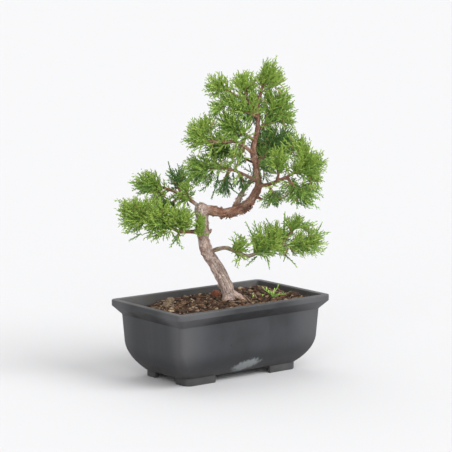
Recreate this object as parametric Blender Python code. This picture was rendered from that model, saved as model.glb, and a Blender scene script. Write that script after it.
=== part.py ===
"""A young juniper bonsai in a rectangular plastic pot, filled with coarse bark soil.

The pot stands on its four feet on z = 0, with its long side along X and its centre on the Z axis.
Every length below is in millimetres and is turned into metres where the meshes are made.
"""
import math

import bmesh
import bpy
from mathutils import Matrix, Vector, noise

MM = 0.001

# ---- Driving dimensions -------------------------------------------------------------------------
POT_LENGTH = 200.0
POT_WIDTH = 122.0
POT_HEIGHT = 80.0
RIM_RADIUS = 7.0  # corners of the rim, seen from above
RIM_SOFTENED = 0.5  # the worn upper edge of the rim
BODY_RADIUS = 5.0  # corners of the body under the rim
BODY_RADIUS_LOW = 14.0  # the corners grow rounder towards the base
LIP_BAND = 6.0  # height of the rim's upright outer band
LIP_TOP = 7.0  # width of the rim's flat top
LIP_OVERHANG = 8.2  # how far the rim stands out from the body
LIP_UNDERCUT = 9.0  # height of the slanting underside of the rim
BELLY_RADIUS = 45.5  # the wall curves in below BELLY_TOP on this radius
BELLY_TOP = 40.0
BELLY_INSET = 9.8  # how far the wall stands in from the rim at BELLY_TOP
UNDERSIDE = 8.0  # height of the base above the ground
WALL = 2.2
FOOT_REACH = (73.0, 37.5)  # outer faces of the feet
FOOT_GAP = (36.0, 18.0)  # half width of the openings between the feet
FOOT_WALL = 4.0
FOOT_RADIUS = 9.0
DRAIN_RADIUS = 6.0
DRAIN_OFFSET = 45.0
DRAIN_SIDES = 20
MESH_PITCH = 5.0  # the screens over the drainage holes
MESH_CELLS = 4
MESH_WIRE = 0.9

GAP = 0.35  # clearance between neighbouring solids
LIMB_GAP = GAP + 0.05  # and round the wood, whose sides are flat between its corners
SOIL_LEVEL = 74.0  # height of the soil away from its mound and hollow
TREE_FOOT = (12.0, 0.0, 72.0)  # where the trunk leaves the soil
TREE_TURN = -38.0  # degrees about Z from the pot's frame to the tree's own frame
SHARP_ANGLE = 40.0  # edges that bend more than this stay crisp

for old in list(bpy.data.objects):
    bpy.data.objects.remove(old)


# ---- Making objects -----------------------------------------------------------------------------
def plain_material(name, colour, roughness):
    material = bpy.data.materials.new(name)
    material.use_nodes = True
    shader = material.node_tree.nodes["Principled BSDF"]
    shader.inputs["Base Color"].default_value = (*colour, 1.0)
    shader.inputs["Roughness"].default_value = roughness
    shader.inputs["Metallic"].default_value = 0.0
    return material


def object_from(bm, name, colour=(0.5, 0.5, 0.5), roughness=0.6, parent=None, smooth=True):
    """Turns a bmesh in millimetres into a named object in metres with its own material."""
    bmesh.ops.recalc_face_normals(bm, faces=bm.faces)
    bmesh.ops.scale(bm, vec=(MM, MM, MM), verts=bm.verts)
    mesh = bpy.data.meshes.new(name)
    bm.to_mesh(mesh)
    bm.free()
    if smooth:
        mesh.shade_smooth()
        mesh.set_sharp_from_angle(angle=math.radians(SHARP_ANGLE))
    mesh.materials.append(plain_material(name, colour, roughness))
    made = bpy.data.objects.new(name, mesh)
    made.parent = parent
    bpy.context.collection.objects.link(made)
    return made


def hide_cutter(cutter):
    cutter.hide_render = True
    cutter.display_type = "WIRE"
    return cutter


def combine(target, other, operation):
    modifier = target.modifiers.new(other.name, "BOOLEAN")
    modifier.operation = operation
    modifier.solver = "EXACT"
    modifier.object = other


def apply_modifiers(target):
    """Settles an object's modifiers into its mesh and drops any loose crumb that a cut left."""
    bpy.context.view_layer.update()
    settled = target.evaluated_get(bpy.context.evaluated_depsgraph_get())
    mesh = bpy.data.meshes.new_from_object(settled)
    target.modifiers.clear()
    target.data = mesh
    bm = bmesh.new()
    bm.from_mesh(mesh)
    islands = []
    unseen = set(bm.verts)
    while unseen:
        front = [unseen.pop()]
        island = set(front)
        while front:
            for edge in front.pop().link_edges:
                for vert in edge.verts:
                    if vert not in island:
                        island.add(vert)
                        unseen.discard(vert)
                        front.append(vert)
        islands.append(island)
    islands.sort(key=len)
    for crumb in islands[:-1]:
        bmesh.ops.delete(bm, geom=list(crumb), context="VERTS")
    bm.to_mesh(mesh)
    bm.free()


def boxes_meet(one, other):
    """Whether the bounding boxes of two objects under the same parent overlap."""
    for axis in range(3):
        spans = [[corner[axis] for corner in ob.bound_box] for ob in (one, other)]
        if min(spans[0]) > max(spans[1]) or min(spans[1]) > max(spans[0]):
            return False
    return True


# ---- The pot ------------------------------------------------------------------------------------
CORNER_STEPS = 4
UNDER_LIP = POT_HEIGHT - LIP_BAND - LIP_UNDERCUT  # where the rim's slanting underside meets the body
BELLY_SHARES = (0, 0.1, 0.25, 0.45, 0.7, 1)
BELLY_LEVELS = [UNDERSIDE + (BELLY_TOP - UNDERSIDE) * share for share in BELLY_SHARES]


def rounded_rectangle(half_x, half_y, radius, z):
    """A level loop of points with rounded corners, always with the same number of points."""
    loop = []
    for corner, (sx, sy) in enumerate(((1, 1), (-1, 1), (-1, -1), (1, -1))):
        centre_x = sx * (half_x - radius)
        centre_y = sy * (half_y - radius)
        for step in range(CORNER_STEPS + 1):
            angle = math.pi / 2 * (corner + step / CORNER_STEPS)
            loop.append((centre_x + radius * math.cos(angle), centre_y + radius * math.sin(angle), z))
    return loop


def pot_loop(z, inset, radius):
    return rounded_rectangle(POT_LENGTH / 2 - inset, POT_WIDTH / 2 - inset, radius, z)


def wall_inset(z):
    """How far the body's outer wall stands in from the edge of the rim, at a height z."""
    if z >= BELLY_TOP:
        share = min((z - BELLY_TOP) / (UNDER_LIP - BELLY_TOP), 1.0)
        return BELLY_INSET + (LIP_OVERHANG - BELLY_INSET) * share
    drop = min(BELLY_TOP - z, BELLY_TOP - UNDERSIDE)
    return BELLY_INSET + BELLY_RADIUS - math.sqrt(BELLY_RADIUS**2 - drop**2)


def wall_radius(z):
    """The radius of the body's upright corners at a height z."""
    drop = max(BELLY_TOP - z, 0.0) / (BELLY_TOP - UNDERSIDE)
    return BODY_RADIUS + (BODY_RADIUS_LOW - BODY_RADIUS) * drop**2


def inner_inset(z):
    """The same as wall_inset for the inner wall, which leaves the rim's flat top with a slope."""
    if z <= UNDER_LIP:
        return wall_inset(z) + WALL
    share = (z - UNDER_LIP) / (POT_HEIGHT - UNDER_LIP)
    return LIP_OVERHANG + WALL + (LIP_TOP - LIP_OVERHANG - WALL) * share


def inner_radius(z):
    return max(wall_radius(z) - WALL, 1.0)


def loft(loops):
    """A closed skin through level loops with equal numbers of points, capped at both ends."""
    bm = bmesh.new()
    rings = [[bm.verts.new(point) for point in loop] for loop in loops]
    for low, high in zip(rings, rings[1:]):
        for here in range(len(low)):
            after = (here + 1) % len(low)
            bm.faces.new((low[here], low[after], high[after], high[here]))
    bm.faces.new(reversed(rings[0]))
    bm.faces.new(rings[-1])
    return bm


def make_pot():
    outer = [pot_loop(z, wall_inset(z), wall_radius(z)) for z in (*BELLY_LEVELS, UNDER_LIP)]
    outer.append(pot_loop(POT_HEIGHT - LIP_BAND, 0.0, RIM_RADIUS))
    outer.append(pot_loop(POT_HEIGHT - RIM_SOFTENED, 0.0, RIM_RADIUS))
    outer.append(pot_loop(POT_HEIGHT, RIM_SOFTENED, RIM_RADIUS - RIM_SOFTENED))
    levels = (UNDERSIDE + WALL, *BELLY_LEVELS[2:], UNDER_LIP, POT_HEIGHT)
    inner = [pot_loop(z, inner_inset(z), inner_radius(z)) for z in reversed(levels)]
    pot = object_from(loft(outer + inner), "pot", (0.09, 0.09, 0.1), 0.45)
    combine(pot, hide_cutter(make_feet()), "UNION")
    for side in (-1, 1):
        combine(pot, hide_cutter(drain_cutter(side)), "DIFFERENCE")
    apply_modifiers(pot)
    return pot


def make_feet():
    """Four L-shaped walls, one under each corner, which reach up into the base."""
    bm = bmesh.new()
    for sx in (1, -1):
        for sy in (1, -1):
            arc = []
            for step in range(CORNER_STEPS + 1):
                angle = math.pi / 2 * step / CORNER_STEPS
                along = FOOT_REACH[0] - FOOT_RADIUS * (1 - math.cos(angle))
                across = FOOT_REACH[1] - FOOT_RADIUS * (1 - math.sin(angle))
                arc.append((along, across))
            inside = (FOOT_REACH[0] - FOOT_WALL, FOOT_REACH[1] - FOOT_WALL)
            outline = [(FOOT_REACH[0], FOOT_GAP[1]), *arc, (FOOT_GAP[0], FOOT_REACH[1])]
            outline += [(FOOT_GAP[0], inside[1]), inside, (inside[0], FOOT_GAP[1])]
            base = bm.faces.new([bm.verts.new((sx * x, sy * y, 0.0)) for x, y in outline])
            grown = bmesh.ops.extrude_face_region(bm, geom=[base])
            top = [item for item in grown["geom"] if isinstance(item, bmesh.types.BMVert)]
            bmesh.ops.translate(bm, verts=top, vec=(0, 0, UNDERSIDE + WALL / 2))
    return object_from(bm, "feet_shape")


def drain_cutter(side):
    bm = bmesh.new()
    place = Matrix.Translation((side * DRAIN_OFFSET, 0, UNDERSIDE + WALL / 2))
    bmesh.ops.create_cone(
        bm,
        cap_ends=True,
        segments=DRAIN_SIDES,
        radius1=DRAIN_RADIUS,
        radius2=DRAIN_RADIUS,
        depth=WALL * 3,
        matrix=place,
    )
    return object_from(bm, "drain_shape")


def make_drainage_mesh(name, side):
    """A square of plastic mesh that lies over a drainage hole and keeps the soil in."""
    bm = bmesh.new()
    cells = bmesh.ops.create_grid(
        bm, x_segments=MESH_CELLS, y_segments=MESH_CELLS, size=MESH_PITCH * MESH_CELLS / 2
    )
    lift = UNDERSIDE + WALL + GAP + MESH_WIRE / 2
    bmesh.ops.translate(bm, verts=cells["verts"], vec=(side * DRAIN_OFFSET, 0, lift))
    mesh = object_from(bm, name, (0.03, 0.03, 0.03), 0.6, smooth=False)
    wires = mesh.modifiers.new("wires", "WIREFRAME")
    wires.thickness = MESH_WIRE * MM
    wires.use_even_offset = False
    wires.use_boundary = True
    apply_modifiers(mesh)
    return mesh


# ---- The tree's wood ----------------------------------------------------------------------------
# Routes are in the tree's own frame, whose origin is TREE_FOOT: X to the tree's right, Y to its
# back, Z up. Each point is (x, y, z, thickness).
LOWER_TRUNK = (
    (2, 0, -30, 7),
    (1, 0, -14, 12),
    (0, 0, -3, 17),
    (-1, 0, 5, 14.5),
    (-3, 0, 15, 13.5),
    (-8, 1, 27, 13.5),
    (-16, 2, 41, 13.5),
    (-23, 2, 53, 12.5),
    (-28, 1, 66, 11),
    (-30, 0, 78, 10.5),
    (-31, -2, 91, 10.5),
    (-30, -4, 101, 11),
)
UPPER_TRUNK = (
    (-32, -4, 100, 9),
    (-21, -4, 99, 11),
    (-7, -2, 96, 9.5),
    (6, 2, 98, 9.5),
    (18, 6, 104, 9),
    (26, 8, 114, 8.5),
    (30, 8, 124, 8),
    (28, 6, 137, 7),
    (26, 4, 149, 6),
    (24, 2, 158, 6.5),
    (25, 0, 169, 5.5),
    (28, 0, 181, 5),
    (29, 1, 193, 4.5),
    (28, 2, 205, 4),
    (30, 3, 215, 3.5),
    (33, 4, 225, 3),
    (36, 4, 236, 2.5),
)
ROOTS = (
    ((0, 0, 2, 9), (9, -3, -4, 8), (18, -7, -14, 5)),
    ((0, 0, 2, 9), (-8, -5, -4, 8), (-15, -12, -14, 5)),
    ((0, 0, 2, 9), (-3, 9, -5, 8), (-6, 19, -15, 5)),
)
BRANCHES = {
    "right_low": (
        (-22, 2, 56, 5),
        (-12, -6, 60, 4.5),
        (-3, -10, 61, 4.2),
        (8, -15, 57, 4),
        (20, -18, 53, 4),
        (34, -16, 59, 3.5),
        (52, -14, 63, 3),
        (72, -12, 65, 2.5),
        (88, -11, 68, 2),
    ),
    "right_low_upper": ((52, -14, 63, 3), (61, -10, 73, 2.5), (67, -8, 81, 2)),
    "right_low_back": ((34, -16, 59, 3), (42, 2, 62, 2.5), (50, 14, 65, 2)),
    "left_low": (
        (-30, 0, 75, 5),
        (-41, -8, 77, 4.2),
        (-52, -14, 78, 4),
        (-60, -19, 82, 3.5),
        (-74, -23, 87, 3),
        (-86, -23, 89, 2.5),
        (-98, -22, 91, 2),
    ),
    "left_inner": ((-52, -14, 78, 3), (-52, -20, 86, 2.2)),
    "left_high": (
        (-30, -3, 101, 5),
        (-40, 6, 107, 4),
        (-51, 14, 113, 3.5),
        (-66, 14, 119, 3),
        (-82, 14, 124, 2.2),
    ),
    "left_back": ((-51, 14, 113, 3), (-54, 24, 118, 2.5), (-55, 31, 122, 2)),
    "left_behind": ((-51, 14, 113, 3), (-59, 22, 105, 2.5), (-68, 26, 98, 2)),
    "left_knuckle": ((-40, 6, 107, 3.6), (-43, 3, 112, 2.6), (-45, 1, 117, 2)),
    "trunk_tuft": ((-29, 1, 69, 3.5), (-31, -9, 70, 2.5), (-32, -13, 77, 2)),
    "crown_left_low": (
        (28, 6, 129, 4),
        (21, 5, 132, 3.5),
        (11, 3, 137, 3.2),
        (0, 2, 141, 3),
        (-14, 4, 142, 2.5),
        (-29, 7, 142, 2),
    ),
    "crown_hanging": ((0, 2, 141, 2.5), (-4, 9, 134, 2.2), (-6, 14, 127, 1.8)),
    "crown_inner_low": ((11, 3, 137, 2.8), (12, 6, 132, 2.3), (12, 8, 128, 1.8)),
    "crown_left_mid": (
        (24, 2, 157, 4),
        (16, -5, 165, 3.5),
        (6, -11, 171, 3.2),
        (-6, -15, 172, 3),
        (-17, -16, 172, 2.5),
        (-28, -15, 174, 2),
    ),
    "crown_centre": ((26, 0, 172, 3.5), (14, -5, 178, 2.5), (4, -9, 183, 2)),
    "crown_top_left": (
        (28, 2, 204, 3.5),
        (19, -2, 210, 3),
        (8, -7, 218, 2.5),
        (-2, -9, 223, 2.2),
        (-11, -10, 226, 2),
    ),
    "crown_top_middle": ((19, -2, 210, 2.6), (17, -1, 218, 2.2), (15, 0, 225, 2)),
    "crown_left_upper": ((8, -7, 218, 2.4), (-2, -9, 212, 2.2), (-10, -10, 207, 1.8)),
    "crown_front_upper": ((28, 1, 196, 3), (20, -5, 200, 2.5), (13, -9, 204, 2)),
    "crown_upper_right": ((28, 0, 182, 3.5), (38, 5, 190, 2.8), (48, 9, 199, 2)),
    "crown_middle_right": ((27, 5, 146, 4), (38, 13, 155, 3), (48, 20, 162, 2.2)),
    "crown_right": (
        (30, 8, 123, 4.5),
        (39, 0, 125, 4),
        (48, -10, 130, 3.5),
        (58, -16, 135, 3),
        (69, -18, 141, 2.5),
        (79, -17, 145, 2),
    ),
    "crown_right_inner": ((48, -10, 130, 3), (50, -15, 138, 2.5), (50, -18, 145, 2)),
    "crown_right_low": ((58, -16, 135, 3), (66, -14, 126, 2.5), (72, -12, 120, 2)),
    "crown_right_under": ((39, 0, 125, 3.2), (43, -2, 120, 2.5), (46, -3, 115, 2)),
    "crown_back": (
        (5, 2, 98, 5.5),
        (13, 14, 110, 5),
        (19, 21, 118, 4.5),
        (24, 29, 128, 4),
        (29, 35, 142, 3),
        (34, 39, 155, 2.2),
    ),
    "crown_back_left": ((29, 35, 142, 3), (12, 35, 150, 2.5), (-5, 32, 157, 2)),
    "crown_back_top": ((29, 1, 193, 3), (26, 14, 197, 2.5), (23, 28, 200, 2)),
}
TRUNK_SIDES = 8
TRUNK_STEPS = 2
BRANCH_SIDES = 6
BRANCH_STEPS = 1


def smooth_route(points, steps):
    """Catmull-Rom curve through the points, with its thickness, as a list of 4D vectors."""
    knots = [Vector(point) for point in points]
    knots = [2 * knots[0] - knots[1], *knots, 2 * knots[-1] - knots[-2]]
    route = []
    for before, start, end, after in zip(knots, knots[1:], knots[2:], knots[3:]):
        for step in range(steps):
            t = step / steps
            bend = (2 * before - 5 * start + 4 * end - after) * t**2
            twist = (3 * start - before - 3 * end + after) * t**3
            route.append(0.5 * (2 * start + (end - before) * t + bend + twist))
    route.append(knots[-2])
    return route


END_STEP = 0.5  # a tube's end is domed by a smaller ring and then a point, in radii
END_RADIUS = 0.6
END_POINT = 0.45


def tube(points, sides, steps=BRANCH_STEPS, extra=0.0):
    """A round closed tube along a smoothed route, with domed ends. extra thickens it all over."""
    route = smooth_route(points, steps)
    places = [Vector(point[:3]) for point in route]
    radii = [point[3] / 2 + extra for point in route]
    start_way = (places[0] - places[1]).normalized()
    end_way = (places[-1] - places[-2]).normalized()
    places.insert(0, places[0] + start_way * radii[0] * END_STEP)
    places.append(places[-1] + end_way * radii[-1] * END_STEP)
    radii = [radii[0] * END_RADIUS, *radii, radii[-1] * END_RADIUS]
    bm = bmesh.new()
    side_way = (places[1] - places[0]).orthogonal().normalized()
    rings = []
    for index, (place, radius) in enumerate(zip(places, radii)):
        ahead = places[min(index + 1, len(places) - 1)] - places[max(index - 1, 0)]
        ahead.normalize()
        side_way = (side_way - ahead * side_way.dot(ahead)).normalized()
        other_way = ahead.cross(side_way)
        ring = []
        for side in range(sides):
            angle = 2 * math.pi * side / sides
            offset = side_way * math.cos(angle) + other_way * math.sin(angle)
            ring.append(bm.verts.new(place + offset * radius))
        rings.append(ring)
    for low, high in zip(rings, rings[1:]):
        for side in range(sides):
            after = (side + 1) % sides
            bm.faces.new((low[side], low[after], high[after], high[side]))
    for ring, place, way, radius in (
        (rings[0], places[0], start_way, radii[0]),
        (rings[-1], places[-1], end_way, radii[-1]),
    ):
        tip = bm.verts.new(place + way * radius * END_POINT)
        for side in range(sides):
            bm.faces.new((ring[side], ring[(side + 1) % sides], tip))
    return bm


def wood_tubes(prefix, extra, parent):
    """Every limb of the tree as an object of its own, thicker by extra all round."""
    limbs = {f"root_{number}": route for number, route in enumerate(ROOTS)} | BRANCHES
    shapes = {
        "trunk_lower": tube(LOWER_TRUNK, TRUNK_SIDES, TRUNK_STEPS, extra),
        "trunk_upper": tube(UPPER_TRUNK, TRUNK_SIDES, TRUNK_STEPS, extra),
    }
    shapes |= {name: tube(route, BRANCH_SIDES, extra=extra) for name, route in limbs.items()}
    return [
        hide_cutter(object_from(bm, prefix + name, parent=parent)) for name, bm in shapes.items()
    ]


def make_trunk(limbs, parent):
    """The trunk with its roots and branches, grown as one piece of wood."""
    bm = tube(LOWER_TRUNK, TRUNK_SIDES, TRUNK_STEPS)
    trunk = object_from(bm, "trunk", (0.31, 0.2, 0.15), 0.8, parent)
    for limb in limbs:
        if limb.name != "limb_trunk_lower":
            combine(trunk, limb, "UNION")
    apply_modifiers(trunk)
    return trunk


# ---- The foliage --------------------------------------------------------------------------------
# One tuft of shoots to each branch end: centre (x, y, z) and half sizes (x, y, z), in the tree's
# own frame, and how many degrees the tuft leans about the tree's Y axis.
BRIGHT = (0.16, 0.30, 0.05)
MIDDLE = (0.10, 0.22, 0.05)
SHADED = (0.06, 0.14, 0.05)
TUFTS = {
    "left_tip": ((-99, -22, 94), (19, 18, 21), 10, BRIGHT),
    "left_front": ((-73, -26, 91), (18, 19, 23), -10, BRIGHT),
    "left_inner": ((-50, -22, 90), (13, 16, 18), -20, BRIGHT),
    "left_high": ((-86, 13, 125), (20, 19, 15), 15, MIDDLE),
    "left_back": ((-54, 33, 125), (16, 14, 18), -20, SHADED),
    "left_behind": ((-71, 26, 96), (20, 16, 16), 10, SHADED),
    "left_knuckle": ((-46, 0, 116), (10, 10, 14), 0, MIDDLE),
    "trunk_tuft": ((-32, -14, 80), (6, 5, 14), 0, MIDDLE),
    "crown_left_low": ((-31, 8, 139), (20, 18, 22), 15, MIDDLE),
    "crown_hanging": ((-6, 15, 124), (13, 9, 12), 20, SHADED),
    "crown_inner_low": ((13, 9, 126), (10, 8, 10), 0, SHADED),
    "crown_left_mid": ((-31, -14, 178), (20, 17, 21), 20, BRIGHT),
    "crown_centre": ((0, -10, 187), (16, 14, 20), 10, MIDDLE),
    "crown_top_left": ((-12, -10, 228), (16, 14, 16), 20, BRIGHT),
    "crown_top_middle": ((15, 0, 229), (16, 14, 15), 0, BRIGHT),
    "crown_left_upper": ((-13, -10, 205), (14, 12, 13), 10, MIDDLE),
    "crown_front_upper": ((11, -12, 205), (12, 11, 14), 0, MIDDLE),
    "apex": ((42, 4, 237), (14, 13, 20), -5, BRIGHT),
    "crown_upper_right": ((51, 9, 204), (18, 15, 25), -10, MIDDLE),
    "crown_middle_right": ((54, 22, 166), (20, 16, 20), -15, SHADED),
    "crown_right": ((80, -17, 148), (20, 18, 19), -15, BRIGHT),
    "crown_right_inner": ((50, -20, 150), (14, 12, 17), 0, BRIGHT),
    "crown_right_low": ((74, -12, 119), (22, 17, 13), 20, MIDDLE),
    "crown_right_under": ((46, -4, 114), (14, 12, 11), 0, SHADED),
    "crown_back": ((35, 42, 159), (17, 14, 20), 0, SHADED),
    "crown_back_left": ((-12, 33, 160), (19, 14, 17), 0, SHADED),
    "crown_back_top": ((22, 32, 202), (18, 14, 22), 0, SHADED),
    "right_low_inner": ((10, -14, 62), (13, 12, 14), -20, BRIGHT),
    "right_low_middle": ((37, -17, 67), (20, 18, 20), -10, BRIGHT),
    "right_low_outer": ((80, -12, 66), (23, 18, 14), -10, BRIGHT),
    "right_low_upper": ((68, -7, 85), (15, 12, 8), -25, MIDDLE),
    "right_low_back": ((52, 18, 66), (18, 13, 13), 0, SHADED),
}
TUFT_CORE = 0.7  # how far out the hollows between a tuft's shoots lie, of its half size
TUFT_TIP = 0.93  # the same for the tips of the shoots
TUFT_RIPPLE = 0.1  # how much both vary round the tuft
RIPPLE_DETAIL = 2.5
TUFT_GAP = 3 * GAP


def tuft(centre, half_size, lean, grow=0.0):
    """A closed spiky solid. grow moves its surface out, for the cut it makes in its neighbours."""
    bm = bmesh.new()
    bmesh.ops.create_icosphere(bm, subdivisions=2, radius=1.0)
    shoots = bmesh.ops.poke(bm, faces=bm.faces)["verts"]
    tips = set(shoots)
    turn = Matrix.Rotation(math.radians(lean), 3, "Y")
    for vert in bm.verts:
        way = vert.co.normalized()
        ripple = TUFT_RIPPLE * noise.noise(way * RIPPLE_DETAIL + Vector(centre) / 10)
        reach = (TUFT_TIP if vert in tips else TUFT_CORE) + ripple
        local = Vector([way[axis] * (half_size[axis] * reach + grow) for axis in range(3)])
        vert.co = turn @ local + Vector(centre)
    return bm


def make_tufts(fat_limbs, parent):
    """All the tufts, each cut clear of the wood and of the tufts made before it."""
    grown = []
    for name, (centre, half_size, lean, colour) in TUFTS.items():
        bm = tuft(centre, half_size, lean)
        made = object_from(bm, f"foliage_{name}", colour, 0.6, parent, smooth=False)
        for other in fat_limbs + grown:
            if boxes_meet(made, other):
                combine(made, other, "DIFFERENCE")
        apply_modifiers(made)
        wider = tuft(centre, half_size, lean, grow=TUFT_GAP)
        grown.append(hide_cutter(object_from(wider, f"room_{name}", parent=parent)))


# ---- The soil and what lies on it ---------------------------------------------------------------
SOIL_RINGS = 6
SOIL_FLOOR = UNDERSIDE + WALL + MESH_WIRE + 3 * GAP
SOIL_SHOULDER = 2.0  # least height of the soil's edge above the ring below it
SOIL_SIDE_PIECES = (7, 4)  # how many lengths its long and short sides are divided into
MOUND = (2.0, 35.0)  # height and reach of the mound round the trunk
HOLLOW = (11.0, 32.0)  # depth and reach of the hollow in the back left corner
HOLLOW_PLACE = (-90.0, 50.0)
SOIL_TILT = 0.012  # rise towards +X
COARSE_ROUGH = (0.9, 0.08)  # height and detail of the uneven surface
FINE_ROUGH = (0.5, 0.2)


def soil_height(x, y):
    """A mound round the trunk, a hollow in the back left corner, and a rough surface."""
    mound = MOUND[0] * math.exp(-((x - TREE_FOOT[0]) ** 2 + y**2) / MOUND[1] ** 2)
    from_hollow = (x - HOLLOW_PLACE[0]) ** 2 + (y - HOLLOW_PLACE[1]) ** 2
    hollow = HOLLOW[0] * math.exp(-from_hollow / HOLLOW[1] ** 2)
    coarse = COARSE_ROUGH[0] * noise.noise(Vector((x, y, 0)) * COARSE_ROUGH[1])
    fine = FINE_ROUGH[0] * noise.noise(Vector((x, y, 9)) * FINE_ROUGH[1])
    return SOIL_LEVEL + mound - hollow + SOIL_TILT * x + coarse + fine


def soil_loop(z):
    inset = inner_inset(z) + GAP
    return rounded_rectangle_with_sides(
        POT_LENGTH / 2 - inset, POT_WIDTH / 2 - inset, inner_radius(z) + GAP, z
    )


def rounded_rectangle_with_sides(half_x, half_y, radius, z):
    """The same outline as rounded_rectangle, with points along its straight sides as well."""
    corners = rounded_rectangle(half_x, half_y, radius, z)
    loop = []
    for index, point in enumerate(corners):
        loop.append(point)
        after = Vector(corners[(index + 1) % len(corners)])
        run = after - Vector(point)
        if index % (CORNER_STEPS + 1) == CORNER_STEPS:
            pieces = SOIL_SIDE_PIECES[0 if abs(run.x) > abs(run.y) else 1]
            loop += [tuple(Vector(point) + run * n / pieces) for n in range(1, pieces)]
    return loop


def make_soil(cutters):
    """The root ball and its bark soil, which fill the pot to just under the rim."""
    bm = bmesh.new()
    heights = [soil_height(x, y) for x, y, _ in soil_loop(SOIL_LEVEL)]
    rings = []
    for z in (SOIL_FLOOR, *BELLY_LEVELS[2:], UNDER_LIP, POT_HEIGHT):
        ring = []
        for index, height in enumerate(heights):
            level = min(z, height if z == POT_HEIGHT else height - SOIL_SHOULDER)
            ring.append(bm.verts.new(soil_loop(level)[index]))
        rings.append(ring)
    edge = rings[-1]
    for ring_number in range(1, SOIL_RINGS):
        share = 1 - ring_number / SOIL_RINGS
        ring = []
        for vert in edge:
            x = vert.co.x * share
            y = vert.co.y * share
            ring.append(bm.verts.new((x, y, soil_height(x, y))))
        rings.append(ring)
    for low, high in zip(rings, rings[1:]):
        for here in range(len(low)):
            after = (here + 1) % len(low)
            bm.faces.new((low[here], low[after], high[after], high[here]))
    bm.faces.new(reversed(rings[0]))
    middle = bm.verts.new((0, 0, soil_height(0, 0)))
    for here in range(len(rings[-1])):
        bm.faces.new((rings[-1][here], rings[-1][(here + 1) % len(rings[-1])], middle))
    soil = object_from(bm, "soil", (0.06, 0.035, 0.022), 0.95)
    for cutter in cutters:
        combine(soil, cutter, "DIFFERENCE")
    apply_modifiers(soil)
    return soil


# Pieces that lie on the soil: place (x, y), size (length, width, height), turn in degrees, colour.
LUMPS = {
    "red_bark_lump": ((14, 27), (12, 10, 9), 20, (0.22, 0.07, 0.045)),
    "brown_stone": ((74, 21), (13, 11, 9), -15, (0.13, 0.075, 0.05)),
    "pale_chip_large": ((-38, 38), (16, 9, 7), 30, (0.36, 0.27, 0.19)),
    "pale_chip_small": ((-52, 26), (11, 7, 6), -40, (0.33, 0.25, 0.18)),
    "dark_chip_left": ((-66, -18), (15, 10, 6), 10, (0.06, 0.035, 0.022)),
    "dark_chip_front": ((-22, -30), (14, 9, 6), 65, (0.075, 0.042, 0.026)),
    "dark_chip_right": ((80, -22), (14, 10, 8), -35, (0.07, 0.04, 0.027)),
    "dark_chip_back": ((46, 36), (13, 9, 7), 15, (0.085, 0.05, 0.03)),
}
PRESSED_IN = 0.3  # share of a lump's height that is pressed into the soil
LUMP_BULGE = 0.14
BULGE_DETAIL = 1.7
STRAWS = {
    "straw_long": ((34, 4, 1.2, 1.5), (27, -10, 0.8, 1.5), (19, -24, 1.6, 1.3)),
    "straw_short": ((44, -2, 1.0, 1.3), (36, -16, 0.6, 1.3), (31, -26, 2.2, 1.1)),
}
WEED_STEMS = (
    ((58, -16, -2, 1.6), (60, -14, 4, 1.4), (66, -13, 9, 1.0)),
    ((58, -16, 0, 1.6), (55, -19, 3, 1.4), (50, -21, 5, 1.0)),
    ((58, -16, 0, 1.6), (62, -20, 3, 1.4), (68, -25, 4, 1.0)),
    ((58, -16, 0, 1.6), (57, -11, 4, 1.4), (54, -6, 7, 1.0)),
)


def lump(place, size, turn, grow=0.0):
    """A rough rounded block. grow widens it all over, for its seat in the soil."""
    bm = bmesh.new()
    bmesh.ops.create_icosphere(bm, subdivisions=2, radius=1.0)
    centre_z = soil_height(*place) + size[2] * (0.5 - PRESSED_IN)
    spin = Matrix.Rotation(math.radians(turn), 3, "Z")
    for vert in bm.verts:
        way = vert.co.normalized()
        bulge = 1.0 + LUMP_BULGE * noise.noise(way * BULGE_DETAIL + Vector((*place, 0)))
        local = Vector([way[axis] * (size[axis] / 2 * bulge + grow) for axis in range(3)])
        vert.co = spin @ local + Vector((*place, centre_z))
    return bm


def on_soil(route):
    """Turns a route's heights above the soil into heights above the ground."""
    return [(x, y, z + soil_height(x, y), thickness) for x, y, z, thickness in route]


def make_weed():
    weed = object_from(tube(on_soil(WEED_STEMS[0]), 6), "weed_sprig", (0.09, 0.25, 0.04), 0.6)
    for number, stem in enumerate(WEED_STEMS[1:]):
        shape = object_from(tube(on_soil(stem), 6), f"weed_stem_{number}")
        combine(weed, hide_cutter(shape), "UNION")
    apply_modifiers(weed)
    return weed


def make_litter():
    """The lumps, straws and weed on the soil. Returns the cutters for their seats."""
    seats = []
    for name, (place, size, turn, colour) in LUMPS.items():
        object_from(lump(place, size, turn), name, colour, 0.9)
        seat = object_from(lump(place, size, turn, grow=GAP), f"seat_{name}")
        seats.append(hide_cutter(seat))
    for name, route in STRAWS.items():
        object_from(tube(on_soil(route), 6), name, (0.42, 0.33, 0.16), 0.8)
        seat = object_from(tube(on_soil(route), 6, extra=GAP), f"seat_{name}")
        seats.append(hide_cutter(seat))
    make_weed()
    for number, stem in enumerate(WEED_STEMS):
        seat = object_from(tube(on_soil(stem), 6, extra=GAP), f"seat_weed_{number}")
        seats.append(hide_cutter(seat))
    return seats


# ---- Assembly -----------------------------------------------------------------------------------
tree_frame = bpy.data.objects.new("tree_frame", None)
tree_frame.location = Vector(TREE_FOOT) * MM
tree_frame.rotation_euler = (0, 0, math.radians(TREE_TURN))
bpy.context.collection.objects.link(tree_frame)
bpy.context.view_layer.update()

make_pot()
for side_name, side_sign in (("left", -1), ("right", 1)):
    make_drainage_mesh(f"drainage_mesh_{side_name}", side_sign)
plain_limbs = wood_tubes("limb_", 0.0, tree_frame)
wide_limbs = wood_tubes("wide_", LIMB_GAP, tree_frame)
make_trunk(plain_limbs, tree_frame)
make_tufts(wide_limbs, tree_frame)
buried = [limb for limb in wide_limbs if "trunk_lower" in limb.name or "root" in limb.name]
make_soil(make_litter() + buried)
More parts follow.
